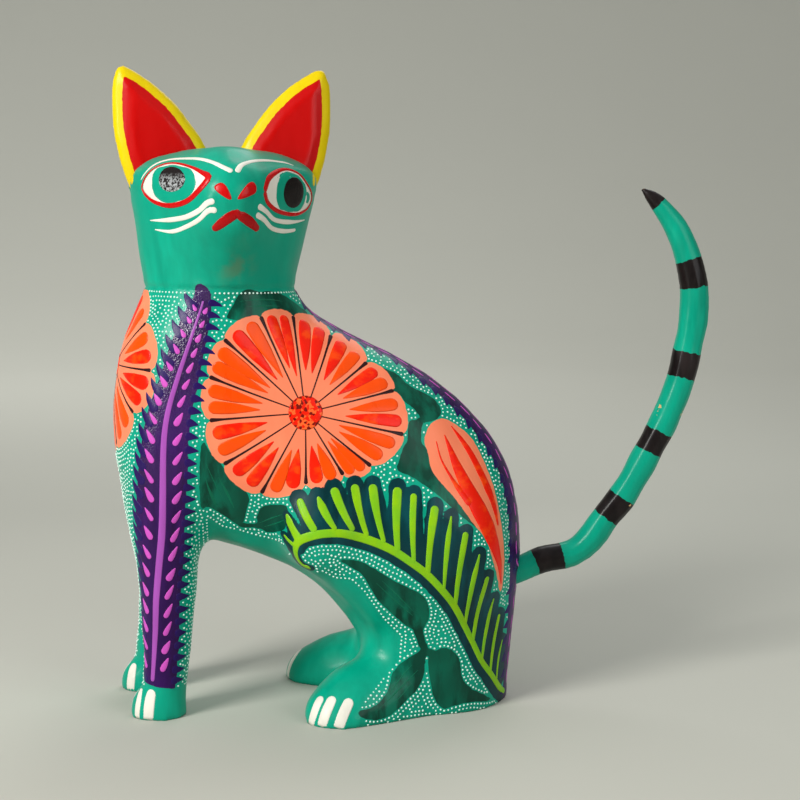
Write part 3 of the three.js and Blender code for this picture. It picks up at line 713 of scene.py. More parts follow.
# Leaves: lighter streaks along each
for side in (-1, 1):
    chance = random.Random(21 + side)
    for outline in leafOutlines:
        shape = np.array(outline)
        centre = shape.mean(0)
        spread, axes = np.linalg.eigh(np.cov((shape - centre).T))
        along, across = axes[:, 1], axes[:, 0]
        long, wide = math.sqrt(spread[1]) * 1.25, math.sqrt(spread[0]) * 0.95
        for k in (-1.5, -0.6, 0.3, 1.2):
            offset = k * wide * 0.6 + chance.uniform(-0.3, 0.3)
            tilt = chance.uniform(-0.1, 0.1)
            low, high = chance.uniform(-0.95, -0.3), chance.uniform(0.2, 0.95)
            trail = np.array([centre + along * long * t + across * (offset * (1 - 0.45 * t * t) + tilt * long * t) for t in np.linspace(low, high, 5)])
            if min(insideBy(outline, trail)) < 0.45 or max(insideBy(flowerOutline, trail)) > -0.5 or max(insideBy(budOutline, trail)) > -0.4:
                continue
            broad = chance.uniform(0.5, 1.0)
            stroke("leafStreak", [flank(side, p[0], p[1]) for p in trail], (0.1, broad * 0.7, broad, broad * 0.5, 0.1), 0.025)

# Plume: midrib, dashes and teeth
teeth = []  # pieces of every painted tooth, for the dots to keep clear of


def tooth(points, widths):
    stroke("plumeTooth", points, widths, 0.03)
    even = np.interp(np.linspace(0, 1, len(points)), np.linspace(0, 1, len(widths)), widths) / 2
    teeth.extend(zip(points, points[1:], even, even[1:]))


dashTable = np.array(plume["dashes"])
for side in (-1, 1):
    track = midribs[side]
    gone = [0.0]
    for a, b in zip(track, track[1:]):
        gone.append(gone[-1] + (b - a).length)
    total = gone[-1]
    table = np.array([list(p) for p in track])

    def alongMidrib(distance):
        return Vector([float(np.interp(distance, gone, table[:, k])) for k in range(3)])

    stroke("plumeViolet", [alongMidrib(d) for d in np.linspace(2.6, total, 24)], plume["ribWidths"], 0.085)
    chance = random.Random(31 + side)
    for right in (-1, 1):
        widths = plume["rightWidths"] if right > 0 else plume["leftWidths"]
        away = Vector((right, 0, 0))
        s = 5.4 + (0.9 if right > 0 else 0)
        while s < total - 1.5:
            p = alongMidrib(s)
            gap, inner, outer, rise, big = (float(np.interp(p.z, dashTable[:, 0], dashTable[:, k])) for k in range(1, 6))
            big *= chance.uniform(0.82, 1.12)
            lean = chance.uniform(0.9, 1.1)
            start = walked(p, away, inner, True)
            end = walked(p + Vector((0, 0, rise * lean)), away, outer, True)
            stroke("plumeDash", [start, (start + end) / 2, end], (big * 0.85, big, big * 0.7, 0.3), 0.085)
            s += gap * chance.uniform(0.95, 1.06)
        s = 3.4
        while s < total + 0.6:
            p = alongMidrib(min(s, total))
            half = float(np.interp(p.z, *zip(*reversed(widths))))
            long = plume["tooth"] * chance.uniform(0.85, 1.12) * (1.15 if p.z < 62 and right > 0 else 1)
            if right > 0:
                droop = float(np.interp(p.z, (60, 100), (-0.1, -1.0)))
                path = [(half - 1.0, 0.3), (half + 0.2, 0.2), (half + long * 0.6, droop * 0.3 + 0.1), (half + long, droop + 0.2)]
                wide = (3.2, 2.6, 1.3, 0.25) if p.z < 90 else (2.5, 2.1, 1.2, 0.25)
            else:
                path = [(half - 1.9, -1.6), (half - 0.3, 0.0), (half + long * 0.35, 1.7), (half + long * 0.62, 3.3)]
                wide = (2.8, 2.6, 1.6, 0.25)
            points = [walked(p + Vector((0, 0, up)), away, far, True) for far, up in path]
            if points[-1].z > footHeight + 0.6:
                tooth(points, wide)
            s += plume["toothEvery"][right] * chance.uniform(0.93, 1.07)

# Back band: dashes in rows and teeth at both edges
track, _, _, total = curved([list(p) for p in spineLine], 1.0)
gone = np.linspace(0, total, len(track))
halves = np.interp(np.linspace(0, 1, len(track)), np.linspace(0, 1, len(backBand["halfWidths"])), backBand["halfWidths"])
chance = random.Random(41)
for side in (-1, 1):
    for row in (0.22, 0.62):
        s = 3.0 + 2.4 * row
        while s < total - 6:
            points = []
            for d in (0, 0.5, 1):
                t = s + backBand["dashLength"] * d
                p = Vector([float(np.interp(t, gone, track[:, k])) for k in range(3)])
                points.append(walked(p, (0, side, 0), float(np.interp(t, gone, halves)) * row))
            stroke("plumeDash", points, (0.3, 0.75, 0.75, 0.3), 0.06)
            s += backBand["dashEvery"] * chance.uniform(0.94, 1.08)
    s = 2.0
    while s < total - 1:
        half = float(np.interp(s, gone, halves))
        p = Vector([float(np.interp(s, gone, track[:, k])) for k in range(3)])
        q = Vector([float(np.interp(min(total, s + 1.5), gone, track[:, k])) for k in range(3)])
        root = walked(p, (0, side, 0), half - 1.5)
        tip = walked(q, (0, side, 0), half + backBand["tooth"])
        tooth([root, (root + tip) / 2, tip], (3.8, 2.5, 0.25))
        s += backBand["toothEvery"] * chance.uniform(0.9, 1.1)
print("ornament painted")

# Face
faceLook = {
    "leftEye": [(-22.2, 26.1), (-21.0, 29.2), (-18.1, 31.5), (-14.2, 32.3), (-10.1, 31.2), (-7.5, 29.7), (-5.9, 28.2), (-8.3, 25.0), (-11.1, 22.3), (-15.2, 21.3), (-19.1, 22.4), (-21.3, 24.3)],
    "leftIris": ((-14.3, 27.2), 5.7, 5.9), "leftPupil": ((-14.7, 28.0), 3.5, 3.45),
    "rightEye": [(8.6, 24.8), (9.8, 28.1), (12.5, 30.2), (15.2, 30.9), (18.7, 29.9), (21.2, 27.4), (23.4, 23.8), (22.4, 21.1), (19.7, 19.4), (16.2, 19.2), (12.3, 20.2), (9.6, 22.3)],
    "rightIris": ((16.7, 24.7), 4.9, 6.2), "rightPupil": ((17.3, 24.8), 3.3, 4.3),
    "leftRim": (0.55, 0.5, 0.5, 0.6, 0.8, 1.2, 2.1, 1.7, 1.5, 1.4, 1.1, 0.8, 0.55), "rightRim": (1.7, 1.7, 1.3, 0.9, 0.6, 0.5, 0.5, 0.6, 0.9, 1.1, 1.2, 1.4, 1.7),
    "rimEnds": [([(-25.0, 30.2), (-24.5, 27.4)], (2.5, 2.3)), ([(24.0, 29.8), (23.5, 27.0)], (2.4, 2.2))],
    "brows": [([(-22.4, 28.1), (-21.1, 30.1), (-19.1, 31.9), (-16.6, 33.0), (-13.4, 33.5), (-8.6, 33.4), (-4.9, 32.4), (-2.3, 31.0), (0.1, 29.7)], (0.3, 0.5, 0.8, 0.9, 1.0, 1.1, 1.2, 1.4, 1.6)),
              ([(1.2, 29.6), (2.8, 31.6), (6.0, 32.7), (10.5, 33.1), (14.5, 32.8), (17.5, 32.0)], (1.6, 1.4, 1.1, 1.0, 0.8, 0.3))],
    "nose": [([(-4.6, 25.9), (-3.0, 27.0), (-1.5, 26.0), (0.0, 22.9), (-1.0, 22.7), (-3.8, 24.6)], (-2.6, 25.0)),
             ([(6.2, 26.3), (5.2, 27.3), (3.5, 26.3), (1.3, 23.0), (2.6, 22.8), (6.1, 24.4)], (4.2, 25.0))],
    "mouth": [([(-4.3, 15.0), (-2.6, 16.4), (-0.6, 18.0), (1.4, 19.1), (2.4, 18.9)], (1.6, 2.5, 2.8, 2.4, 1.4)),
              ([(1.2, 19.0), (2.9, 18.4), (5.0, 17.1), (7.6, 15.0)], (1.6, 2.6, 2.8, 1.6))],
    "whiskers": [([(-4.3, 22.3), (-6.1, 21.8), (-8.0, 19.9), (-11.0, 18.3), (-15.0, 17.6), (-19.7, 17.5)], (1.7, 1.6, 1.5, 1.4, 1.3, 0.3)),
                 ([(-3.6, 19.9), (-5.7, 19.9), (-7.9, 17.6), (-10.8, 15.8), (-14.2, 14.6), (-18.4, 15.1)], (1.7, 1.5, 1.3, 1.2, 1.1, 0.3)),
                 ([(7.0, 21.2), (9.4, 19.8), (12.1, 17.7), (16.4, 17.1), (21.6, 17.7)], (1.7, 1.4, 1.2, 1.3, 0.3)),
                 ([(6.6, 19.0), (9.1, 17.6), (11.5, 15.5), (14.9, 14.7), (18.8, 15.0)], (1.7, 1.4, 1.2, 1.3, 0.9))],
}


def oval(look, turns=18):
    (cx, cz), rx, rz = look
    return [(cx + rx * math.cos(a), cz + rz * math.sin(a)) for a in np.linspace(0, 2 * math.pi, turns + 1)[:-1]]


# The left pupil gets silvery specks, a painted reflection; the right pupil stays plain black.
for eye, iris, pupil, rim, shadeOf in (("leftEye", "leftIris", "leftPupil", "leftRim", "pupilGlint"), ("rightEye", "rightIris", "rightPupil", "rightRim", "pupilDark")):
    outline = faceLook[eye]
    middle = np.mean(outline, 0)
    patch("eyeWhite", [face(x, z) for x, z in outline], face(*middle), 0.05)
    lid = []
    for x, z in oval(faceLook[iris], 30):
        spot, share = np.array((x, z)), 1.0
        while share > 0.3 and insideBy(outline, np.array([middle + (spot - middle) * share]))[0] < 0.12:
            share -= 0.02
        lid.append(tuple(middle + (spot - middle) * share))
    patch("eyeIris", [face(x, z) for x, z in lid], face(*middle), 0.1)
    patch(shadeOf, [face(x, z) for x, z in oval(faceLook[pupil])], face(*faceLook[pupil][0]), 0.15)
    ring = outline + outline[:1]
    stroke("faceRed", [face(x, z) for x, z in ring], faceLook[rim], 0.2)
for points, widths in faceLook["brows"] + faceLook["whiskers"]:
    stroke("faceWhite", [face(x, z) for x, z in points], widths, 0.09)
for outline, middle in faceLook["nose"]:
    patch("faceRed", [face(x, z) for x, z in outline], face(*middle), 0.12)
for points, widths in faceLook["mouth"]:
    stroke("mouthRed", [face(x, z) for x, z in points], widths, 0.14)
for points, widths in faceLook["rimEnds"]:
    stroke("rimYellow", [face(x, z) for x, z in points], widths, 0.12)

# Toes: white strokes, from above the toe to the ground
toes = [
    [(-75.7, -13.5, 7.9), (-76.4, -15.4, 4.6), (-76.9, -15.9, 0.1), 2.0], [(-72.6, -16.8, 8.5), (-73.2, -17.2, 5.1), (-73.7, -17.7, 0.1), 3.2], [(-77.3, -10.2, 7.6), (-78.6, -10.6, 4.0), (-79.2, -10.8, 0.1), 2.2],
    [(-80.2, 11.2, 8.0), (-80.6, 9.7, 4.4), (-80.8, 9.3, 0.1), 3.0], [(-81.2, 15.2, 7.8), (-82.6, 15.2, 4.0), (-83.2, 15.4, 0.1), 3.0], [(-78.9, 18.9, 7.8), (-79.9, 20.0, 4.0), (-80.3, 20.4, 0.1), 2.6],
    [(-27.0, -23.2, 7.5), (-28.9, -24.8, 3.9), (-30.4, -25.2, 0.1), 2.9], [(-23.9, -25.0, 8.0), (-25.8, -26.9, 4.3), (-27.2, -27.6, 0.1), 3.1], [(-19.3, -26.4, 7.6), (-21.2, -28.1, 4.0), (-22.8, -29.3, 0.1), 3.1],
    [(-31.6, 21.2, 8.2), (-34.0, 18.9, 5.2), (-35.6, 17.6, 0.1), 2.6], [(-29.6, 24.0, 8.2), (-32.6, 23.6, 4.4), (-34.4, 23.4, 0.1), 2.9], [(-25.6, 26.2, 7.6), (-28.0, 27.4, 4.0), (-29.4, 27.9, 0.1), 2.9],
]
for *points, width in toes:
    stroke("toeWhite", points, (width * 0.92, width, width * 1.02, width * 0.96), 0.08, cut=True)
print("face and toes painted")


# White dots in rows that follow the motifs
def freeOfPaint(p3):
    """How far a point of the skin is from the nearest painted motif."""
    p3 = np.atleast_2d(p3)
    side = -1 if p3[0][1] < 0 else 1
    best = np.full(len(p3), 1e9)
    for value in flankAreas(p3[:, [0, 2]]).values():
        best = np.minimum(best, -value)
    angle = np.arctan2(-p3[:, 1], chest["axisX"] - p3[:, 0]) * chest["round"]
    best = np.where(p3[:, 0] < chest["axisX"], np.minimum(best, -insideBy(chestOutline, np.stack([angle, p3[:, 2]], 1))), best)
    return best


kd = KDTree(len(places))
for i, p in enumerate(places):
    kd.insert(p, i)
kd.balance()
plumeValue = areas["plumeEdge"]
bellyOutline = dotted["belly"] + [(40, -2), (40, 130), (-90, 130), (-90, 8.5)]


def makeDots(at, aRange, bRange, cell, wanted, taken, chance):
    """Rows of dots on a chart of the skin, each row a little further from the motifs than the last."""
    aCount, bCount = int((aRange[1] - aRange[0]) / cell) + 1, int((bRange[1] - bRange[0]) / cell) + 1
    spots = np.array([[at(aRange[0] + i * cell, bRange[0] + j * cell) for j in range(bCount)] for i in range(aCount)], float)
    flatSpots = spots.reshape(-1, 3)
    field = freeOfPaint(flatSpots)
    nearest = np.array([kd.find(p)[1] for p in flatSpots])
    field = np.minimum(field, -plumeValue[nearest])
    for root, tip, thick, thin in teeth:
        near = np.abs(flatSpots - np.array(root)).max(1) < 7
        if near.any():
            field[near] = np.minimum(field[near], -alongBy([list(root), list(tip)], [thick, thin], flatSpots[near]))
    neck = carving["neckLine"] + carving["neckTilt"] * (flatSpots[:, 0] + 50)
    field = np.minimum(field, neck - 0.55 - flatSpots[:, 2])
    belly = insideBy(bellyOutline, flatSpots[:, [0, 2]])
    field = np.where(wanted(flatSpots), np.minimum(field, belly + 0.3), -1)
    field = field.reshape(aCount, bCount)

    def sample(table, a, b):
        i, j = min(max(a, 0), aCount - 1.001), min(max(b, 0), bCount - 1.001)
        i0, j0 = int(i), int(j)
        u, v = i - i0, j - j0
        return (table[i0, j0] * (1 - u) + table[i0 + 1, j0] * u) * (1 - v) + (table[i0, j0 + 1] * (1 - u) + table[i0 + 1, j0 + 1] * u) * v

    def settle(a, b, level):
        for _ in range(4):
            here = sample(field, a, b)
            ga = (sample(field, a + 0.5, b) - sample(field, a - 0.5, b))
            gb = (sample(field, a, b + 0.5) - sample(field, a, b - 0.5))
            steep = ga * ga + gb * gb
            if steep < 1e-4:
                return None
            step = max(-1.5, min(1.5, (level - here) / steep ** 0.5)) / steep ** 0.5
            a, b = a + ga * step, b + gb * step
        if not (0.5 < a < aCount - 1.5 and 0.5 < b < bCount - 1.5) or abs(sample(field, a, b) - level) > 0.12:
            return None
        return a, b, ga, gb

    made = []

    def crowded(p, limit):
        return any((q - p).length < limit for q in taken.get(key(p), ()))

    def key(p):
        return (int(p.x // 2.5), int(p.y // 2.5), int(p.z // 2.5))

    def put(p):
        kx, ky, kz = key(p)
        for dx in (-1, 0, 1):
            for dy in (-1, 0, 1):
                for dz in (-1, 0, 1):
                    taken.setdefault((kx + dx, ky + dy, kz + dz), []).append(p)
        made.append(p)

    level = dotted["firstRow"]
    while level < 9:
        seeds = np.argwhere(np.abs(field - level) < cell * 0.55)
        chance.shuffle(order := list(range(len(seeds))))
        for n in order[:700]:
            settled = settle(float(seeds[n][0]), float(seeds[n][1]), level)
            if settled is None:
                continue
            p = Vector(sample(spots, settled[0], settled[1]))
            if crowded(p, dotted["spacing"] * 0.86):
                continue
            put(p)
            for sense in (-1, 1):
                a, b, ga, gb = settled
                here, heading = p, None
                for _ in range(160):
                    steep = math.hypot(ga, gb)
                    ta, tb = -gb / steep * sense, ga / steep * sense
                    if heading is not None and ta * heading[0] + tb * heading[1] < 0:
                        ta, tb = -ta, -tb
                    probe = Vector(sample(spots, a + ta * 0.5, b + tb * 0.5)) - Vector(sample(spots, a - ta * 0.5, b - tb * 0.5))
                    if probe.length < 1e-3:
                        break
                    stride = dotted["spacing"] * chance.uniform(0.95, 1.08) / probe.length
                    moved = settle(a + ta * stride, b + tb * stride, level)
                    if moved is None:
                        break
                    q = Vector(sample(spots, moved[0], moved[1]))
                    if (q - here).length > dotted["spacing"] * 1.9 or crowded(q, dotted["spacing"] * 0.82):
                        break
                    put(q)
                    heading = (moved[0] - a, moved[1] - b)
                    a, b, ga, gb = moved
                    here = q
        level += dotted["rowGap"]
    gaps = [tuple(g) for g in np.argwhere(field > dotted["firstRow"] * 0.9)]
    chance.shuffle(gaps)
    for i, j in gaps:
        p = Vector(spots[i, j])
        if not crowded(p, dotted["spacing"] * 0.9):
            put(p)
    return made


legCentres = {}
for side in (-1, 1):
    rows = []
    for height in range(3, 54, 6):
        ring = places[(np.abs(places[:, 2] - height) < 1.5) & (places[:, 0] < -56) & (places[:, 1] * side > 3.5)]
        rows.append((height, *((ring.min(0) + ring.max(0)) / 2)[:2]))
    legCentres[side] = rows


def legAt(side, s, z):
    """The point of a front leg s round from its front, towards its outer side."""
    heights, xs, ys = zip(*legCentres[side])
    middle = Vector((float(np.interp(z, heights, xs)), float(np.interp(z, heights, ys)), z))
    angle = s / 9
    out = Vector((-math.cos(angle), side * math.sin(angle), 0))
    hit = skin.ray_cast(middle + out * 30, -out)
    return hit[0] if hit[0] is not None else middle + out * 8


taken, dotPlaces = {}, []
chance = random.Random(dotted["seed"])
around = 0.0
while around < 2 * math.pi:  # one row under the head's edge
    out = Vector((math.cos(around), math.sin(around), 0))
    edge = Vector((-51.0, -0.5, 0))
    for _ in range(2):
        height = carving["neckLine"] + carving["neckTilt"] * (edge.x + 50) - 0.95
        edge = skin.ray_cast(Vector((-51.0, -0.5, height)) + out * 60, -out)[0]
    free = -plumeValue[kd.find(edge)[1]] > 1.0 and (edge.x > chest["axisX"] or freeOfPaint([edge])[0] > 0.5)
    if free:
        kx, ky, kz = (int(edge.x // 2.5), int(edge.y // 2.5), int(edge.z // 2.5))
        for spot in ((kx + i, ky + j, kz + k) for i in (-1, 0, 1) for j in (-1, 0, 1) for k in (-1, 0, 1)):
            taken.setdefault(spot, []).append(edge)
        dotPlaces.append(edge)
    around += dotted["spacing"] * chance.uniform(0.96, 1.1) / max(8.0, (edge - Vector((-51.0, -0.5, edge.z))).length)
for side in (-1, 1):
    dotPlaces += makeDots(lambda a, b: flank(side, a, b), (-73, 31), (0.4, 117), 0.55,
                          lambda p: (np.abs(p[:, 1]) > 1.5) & (p[:, 0] > -75) & ((p[:, 0] > -59.5) | (p[:, 2] > 50)), taken, chance)
    dotPlaces += makeDots(lambda a, b: legAt(side, a, b), (-3.5, 27), (8.5, 51), 0.55, lambda p: (p[:, 0] < -57.5) & (p[:, 2] < 52), taken, chance)
dotPlaces += makeDots(chestAt, (-30, 30), (46, 117), 0.55, lambda p: (p[:, 0] < -62) & (p[:, 2] > 49), taken, chance)
print("dots", len(dotPlaces))


def dotTree():
    """Geometry Nodes: a low round dot of paint on every point, turned to face out."""
    tree = bpy.data.node_groups.new("paintedDots", "GeometryNodeTree")
    for name, kind in (("Points", "NodeSocketGeometry"), ("Dot Width", "NodeSocketFloat"), ("Dot Height", "NodeSocketFloat"),
                       ("Unevenness", "NodeSocketFloat"), ("Seed", "NodeSocketInt"), ("Paint", "NodeSocketMaterial")):
        tree.interface.new_socket(name, in_out="INPUT", socket_type=kind)
    tree.interface.new_socket("Dots", in_out="OUTPUT", socket_type="NodeSocketGeometry")
    given = node(tree, "NodeGroupInput").outputs
    half = node(tree, "ShaderNodeMath", {0: given["Dot Width"], 1: 0.5}, operation="MULTIPLY").outputs[0]
    ball = node(tree, "GeometryNodeMeshUVSphere", {"Segments": 7, "Rings": 4, "Radius": 1.0}).outputs[0]
    size = node(tree, "ShaderNodeCombineXYZ", {0: half, 1: half, 2: given["Dot Height"]}).outputs[0]
    low = node(tree, "GeometryNodeTransform", {"Geometry": ball, "Scale": size}).outputs[0]
    facing = node(tree, "GeometryNodeInputNamedAttribute", {"Name": "facing"}, data_type="FLOAT_VECTOR").outputs[0]
    turned = node(tree, "FunctionNodeAlignRotationToVector", {"Vector": facing}, axis="Z").outputs[0]
    least = node(tree, "ShaderNodeMath", {0: 1.0, 1: given["Unevenness"]}, operation="SUBTRACT").outputs[0]
    most = node(tree, "ShaderNodeMath", {0: 1.0, 1: given["Unevenness"]}, operation="ADD").outputs[0]
    uneven = node(tree, "FunctionNodeRandomValue", {2: least, 3: most, "Seed": given["Seed"]}, data_type="FLOAT").outputs[1]
    dots = node(tree, "GeometryNodeInstanceOnPoints", {"Points": given["Points"], "Instance": low, "Rotation": turned, "Scale": uneven}).outputs[0]
    real = node(tree, "GeometryNodeRealizeInstances", {"Geometry": dots}).outputs[0]
    soft = node(tree, "GeometryNodeSetShadeSmooth", {"Geometry": real}).outputs[0]
    painted = node(tree, "GeometryNodeSetMaterial", {"Geometry": soft, "Material": given["Paint"]}).outputs[0]
    node(tree, "NodeGroupOutput", {0: painted})
    return tree


def dotPiece(name, points, look, paint, tree):
    mesh = bpy.data.meshes.new(name + "Points")
    spots = [onSkin(p) for p in points]
    mesh.from_pydata([(p * mm) for p, _ in spots], [], [])
    facing = mesh.attributes.new("facing", "FLOAT_VECTOR", "POINT")
    facing.data.foreach_set("vector", [c for _, n in spots for c in n])
    holder = bpy.data.objects.new(name + "Points", mesh)
    scene.collection.objects.link(holder)
    modifier = holder.modifiers.new("dots", "NODES")
    modifier.node_group = tree
    for item in tree.interface.items_tree:
        if item.in_out == "INPUT" and item.name in ("Dot Width", "Dot Height", "Unevenness", "Seed", "Paint"):
            modifier[item.identifier] = {"Dot Width": look["width"] * mm, "Dot Height": look["height"] * mm, "Unevenness": 0.14, "Seed": look["seed"], "Paint": paint}[item.name]
    real = bpy.data.meshes.new_from_object(holder.evaluated_get(bpy.context.evaluated_depsgraph_get()))
    real.name = name
    for vertex in real.vertices:
        vertex.co.z = max(vertex.co.z, 0.0)
    bpy.data.objects.remove(holder)
    piece = bpy.data.objects.new(name, real)
    scene.collection.objects.link(piece)
    return piece


# Ears
earLook = {
    "outline": [(22.7, 22.8), (25.6, 27.2), (27.7, 33.5), (29.1, 40.7), (29.5, 48.0), (29.1, 54.9), (27.9, 57.9), (26.4, 58.7), (24.0, 57.6), (18.8, 54.3), (13.1, 49.2),
                (8.7, 43.6), (5.3, 38.5), (3.5, 33.5), (3.5, 27.8), (8.7, 22.8)],
    "rim": 2.7, "rimFrom": 1, "rimTo": 13, "voxel": 0.5,
}


def headPlaces(place):
    turned = math.radians(head["turn"])
    up = place[:, 2] - head["neckZ"]
    across = place[:, 0] - head["neckX"] - head["lean"] * np.minimum(up, head["cheeks"])
    y = place[:, 1] - head["neckY"]
    return across * math.cos(turned) + y * math.sin(turned), y * math.cos(turned) - across * math.sin(turned), up


def setValues(piece, name, values):
    attribute = piece.data.attributes.new(name, "FLOAT", "POINT")
    attribute.data.foreach_set("value", np.asarray(values, np.float32))


ears = []
for name, side in (("left_ear", 1), ("right_ear", -1)):
    ear = remeshed(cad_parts[name], "catLeftEar" if side > 0 else "catRightEar", earLook["voxel"])
    setPlaces(ear, eased(ear.data, 22))
    place = eased(ear.data, 0)
    hx, hy, up = headPlaces(place)
    flatPlace = np.stack([hx * side, up], 1)
    edge = rounded(earLook["outline"])
    firstRim, lastRim = earLook["outline"][earLook["rimFrom"]], earLook["outline"][earLook["rimTo"]]
    order = np.array(edge)
    i0 = int(np.argmin(np.linalg.norm(order - firstRim, axis=1)))
    i1 = int(np.argmin(np.linalg.norm(order - lastRim, axis=1)))
    rimPath = edge[i0:i1 + 1]
    setValues(ear, "rimEdge", alongBy(rimPath, [earLook["rim"]] * len(rimPath), flatPlace))
    facing = np.array([v.normal for v in ear.data.vertices])
    turned = math.radians(head["turn"])
    front = facing @ np.array([math.sin(turned), -math.cos(turned), 0])
    setValues(ear, "frontEdge", front - 0.12)
    ears.append((ear, name))

# Tail
tailLook = {
    "line": [(30.3, 35.9), (38.2, 38.7), (46.6, 40.9), (51.0, 44.7), (55.0, 50.6), (59.5, 56.0), (66.9, 69.0), (72.8, 80.9), (76.3, 90.6), (79.3, 105.7), (79.8, 113.3),
             (78.8, 119.7), (74.8, 131.1), (69.4, 138.6), (63.9, 143.5)],
    "rings": [((34.3, 39.6), (43.0, 39.5)), ((55.0, 50.6), (59.9, 56.0)), ((67.5, 69.2), (70.2, 74.9)), ((76.3, 90.6), (78.7, 97.4)), ((78.9, 116.0), (77.3, 123.6)), ((69.0, 139.5), (60.0, 147.0))],
    "chips": [((76.3, 79.6), 2.0), ((68.6, 82.0), 1.8), ((73.3, 71.6), 1.8), ((61.6, 55.4), 1.5), ((64.2, 143.6), 1.2)],
    "voxel": 0.55,
}
tail = remeshed(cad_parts["tail"], "catTail", tailLook["voxel"])
setPlaces(tail, eased(tail.data, 24))
place = eased(tail.data, 0)
facing = np.array([v.normal for v in tail.data.vertices])
place += facing * (carving["tailMarks"] * knifeMarks(place, 1.2))[:, None]
setPlaces(tail, place)
even, _, reached, _ = curved([(x, -0.52, z) for x, z in tailLook["line"]], 0.5)
spineTree = KDTree(len(even))
for i, p in enumerate(even):
    spineTree.insert(p, i)
spineTree.balance()


def alongTail(x, z, y=-0.52):
    return reached[spineTree.find((x, y, z))[1]]


tailAt = np.array([alongTail(p[0], p[2], p[1]) for p in place])
for _ in range(6):  # evens out the steps between the centre line's points
    edges = np.empty(len(tail.data.edges) * 2, np.int64)
    tail.data.edges.foreach_get("vertices", edges)
    first, second = edges[0::2], edges[1::2]
    count = len(tailAt)
    total = np.bincount(first, tailAt[second], count) + np.bincount(second, tailAt[first], count)
    tailAt = 0.5 * tailAt + 0.5 * total / (np.bincount(first, minlength=count) + np.bincount(second, minlength=count))
ringEdge = np.full(len(place), -5.0)
for (ax, az), (bx, bz) in tailLook["rings"]:
    low, high = sorted((alongTail(ax, az), alongTail(bx, bz)))
    if bz > 146:
        high += 20
    ringEdge = np.maximum(ringEdge, np.minimum(tailAt - low, high - tailAt))
setValues(tail, "ringEdge", ringEdge)
chipEdge = np.full(len(place), -5.0)
for (x, z), size in tailLook["chips"]:
    chipEdge = np.maximum(chipEdge, size - np.linalg.norm((place - np.array([x, -2.6, z])) * (1, 0.6, 0.8), axis=1))
setValues(tail, "chipEdge", chipEdge)
print("ears and tail ready")


# Finishes
def chinSmudge(tree, place, colour):
    """A faint worn smudge under the chin."""
    worn = ramp(tree, noise(tree, place, 160.0, 4.0), 0.45, 0.62)
    spot = node(tree, "ShaderNodeVectorMath", {0: place, 1: (-0.0485, -0.0205, 0.1225)}, operation="DISTANCE").outputs["Value"]
    near = ramp(tree, spot, 0.0075, 0.001)
    share = node(tree, "ShaderNodeMath", {0: worn, 1: near}, operation="MULTIPLY").outputs[0]
    share = node(tree, "ShaderNodeMath", {0: share, 1: 0.55}, operation="MULTIPLY").outputs[0]
    return mixed(tree, share, colour, linear((96, 120, 84)))


def chipped(tree, place, colour):
    """Small chips that show the wood."""
    edge = node(tree, "ShaderNodeAttribute", attribute_name="chipEdge").outputs["Fac"]
    ragged = ramp(tree, noise(tree, place, 620.0, 4.0), 0.2, 0.8, (-2.6, 2.2))
    mask = ramp(tree, node(tree, "ShaderNodeMath", {0: edge, 1: ragged}, operation="ADD").outputs[0], 0.9, 1.2)
    return mixed(tree, mask, colour, linear(paints["wood"]))


bodyPaint = acrylic("tealWithOrnament", "teal", areas=(("leafEdge", "leaf", 0.6, 0.5), ("petalEdge", "salmon", 0.5, 0.1),
                                                 ("fernEdge", "fern", 0.6, 0.4), ("plumeEdge", "plume", 1.0, 0.35)), extras=chinSmudge, rough=("glazeEdge", 60, 92))
body.data.materials.append(bodyPaint)
for ear, _ in ears:
    ear.data.materials.append(acrylic(ear.name + "Paint", "teal", areas=(("frontEdge", "earRed", 0.3, 0.1), ("rimAndFront", "yellow", 0.5, 0.1))))
tail.data.materials.append(acrylic("tailPaint", "teal", areas=(("ringEdge", "black", 1.2, 0.5),), extras=chipped))
for ear, _ in ears:
    rim = np.empty(len(ear.data.vertices), np.float32)
    front = np.empty(len(ear.data.vertices), np.float32)
    ear.data.attributes["rimEdge"].data.foreach_get("value", rim)
    ear.data.attributes["frontEdge"].data.foreach_get("value", front)
    setValues(ear, "rimAndFront", np.minimum(rim, front * 3 + 0.35))

potPaints = {
    "petalRed": ("red", 0.3), "petalOrange": ("orange", 0.3), "petalLine": ("line", 0.35), "flowerDisc": ("red", 0.35), "fernLime": ("lime", 0.34), "leafStreak": ("leafLight", 0.36),
    "plumeViolet": ("violet", 0.36), "plumeDash": ("pink", 0.36), "mouthRed": ("mouthRed", 0.25), "rimYellow": ("yellow", 0.34), "plumeTooth": ("plumeEdge", 0.36), "faceWhite": ("white", 0.38), "eyeWhite": ("white", 0.38), "eyeIris": ("teal", 0.32), "pupilGlint": ("reflectionGrey", 0.25),
    "pupilDark": ("black", 0.22), "faceRed": ("faceRed", 0.25), "toeWhite": ("white", 0.4),
}


def speckled(tree, place, colour):
    """Stippled paint: pale and dark specks."""
    specks = node(tree, "ShaderNodeTexVoronoi", {"Vector": place, "Scale": 1400.0}).outputs["Color"]
    pick = node(tree, "ShaderNodeSeparateColor", {0: specks}).outputs[0]
    colour = mixed(tree, ramp(tree, pick, 0.66, 0.7), colour, linear((255, 104, 44)))
    return mixed(tree, ramp(tree, pick, 0.2, 0.16), colour, linear((120, 14, 6)))


def warmed(tree, place, colour):
    """Red that the brush left orange in places."""
    share = ramp(tree, noise(tree, place, 230.0, 3.0, (1, 1, 1.4)), 0.5, 0.66, (0, 0.75))
    return mixed(tree, share, colour, linear(paints["orange"]))


def limed(tree, place, colour):
    """Two greens of one brush load."""
    share = ramp(tree, noise(tree, place, 210.0, 3.0), 0.42, 0.62, (0, 0.6))
    return mixed(tree, share, colour, linear((112, 186, 34)))


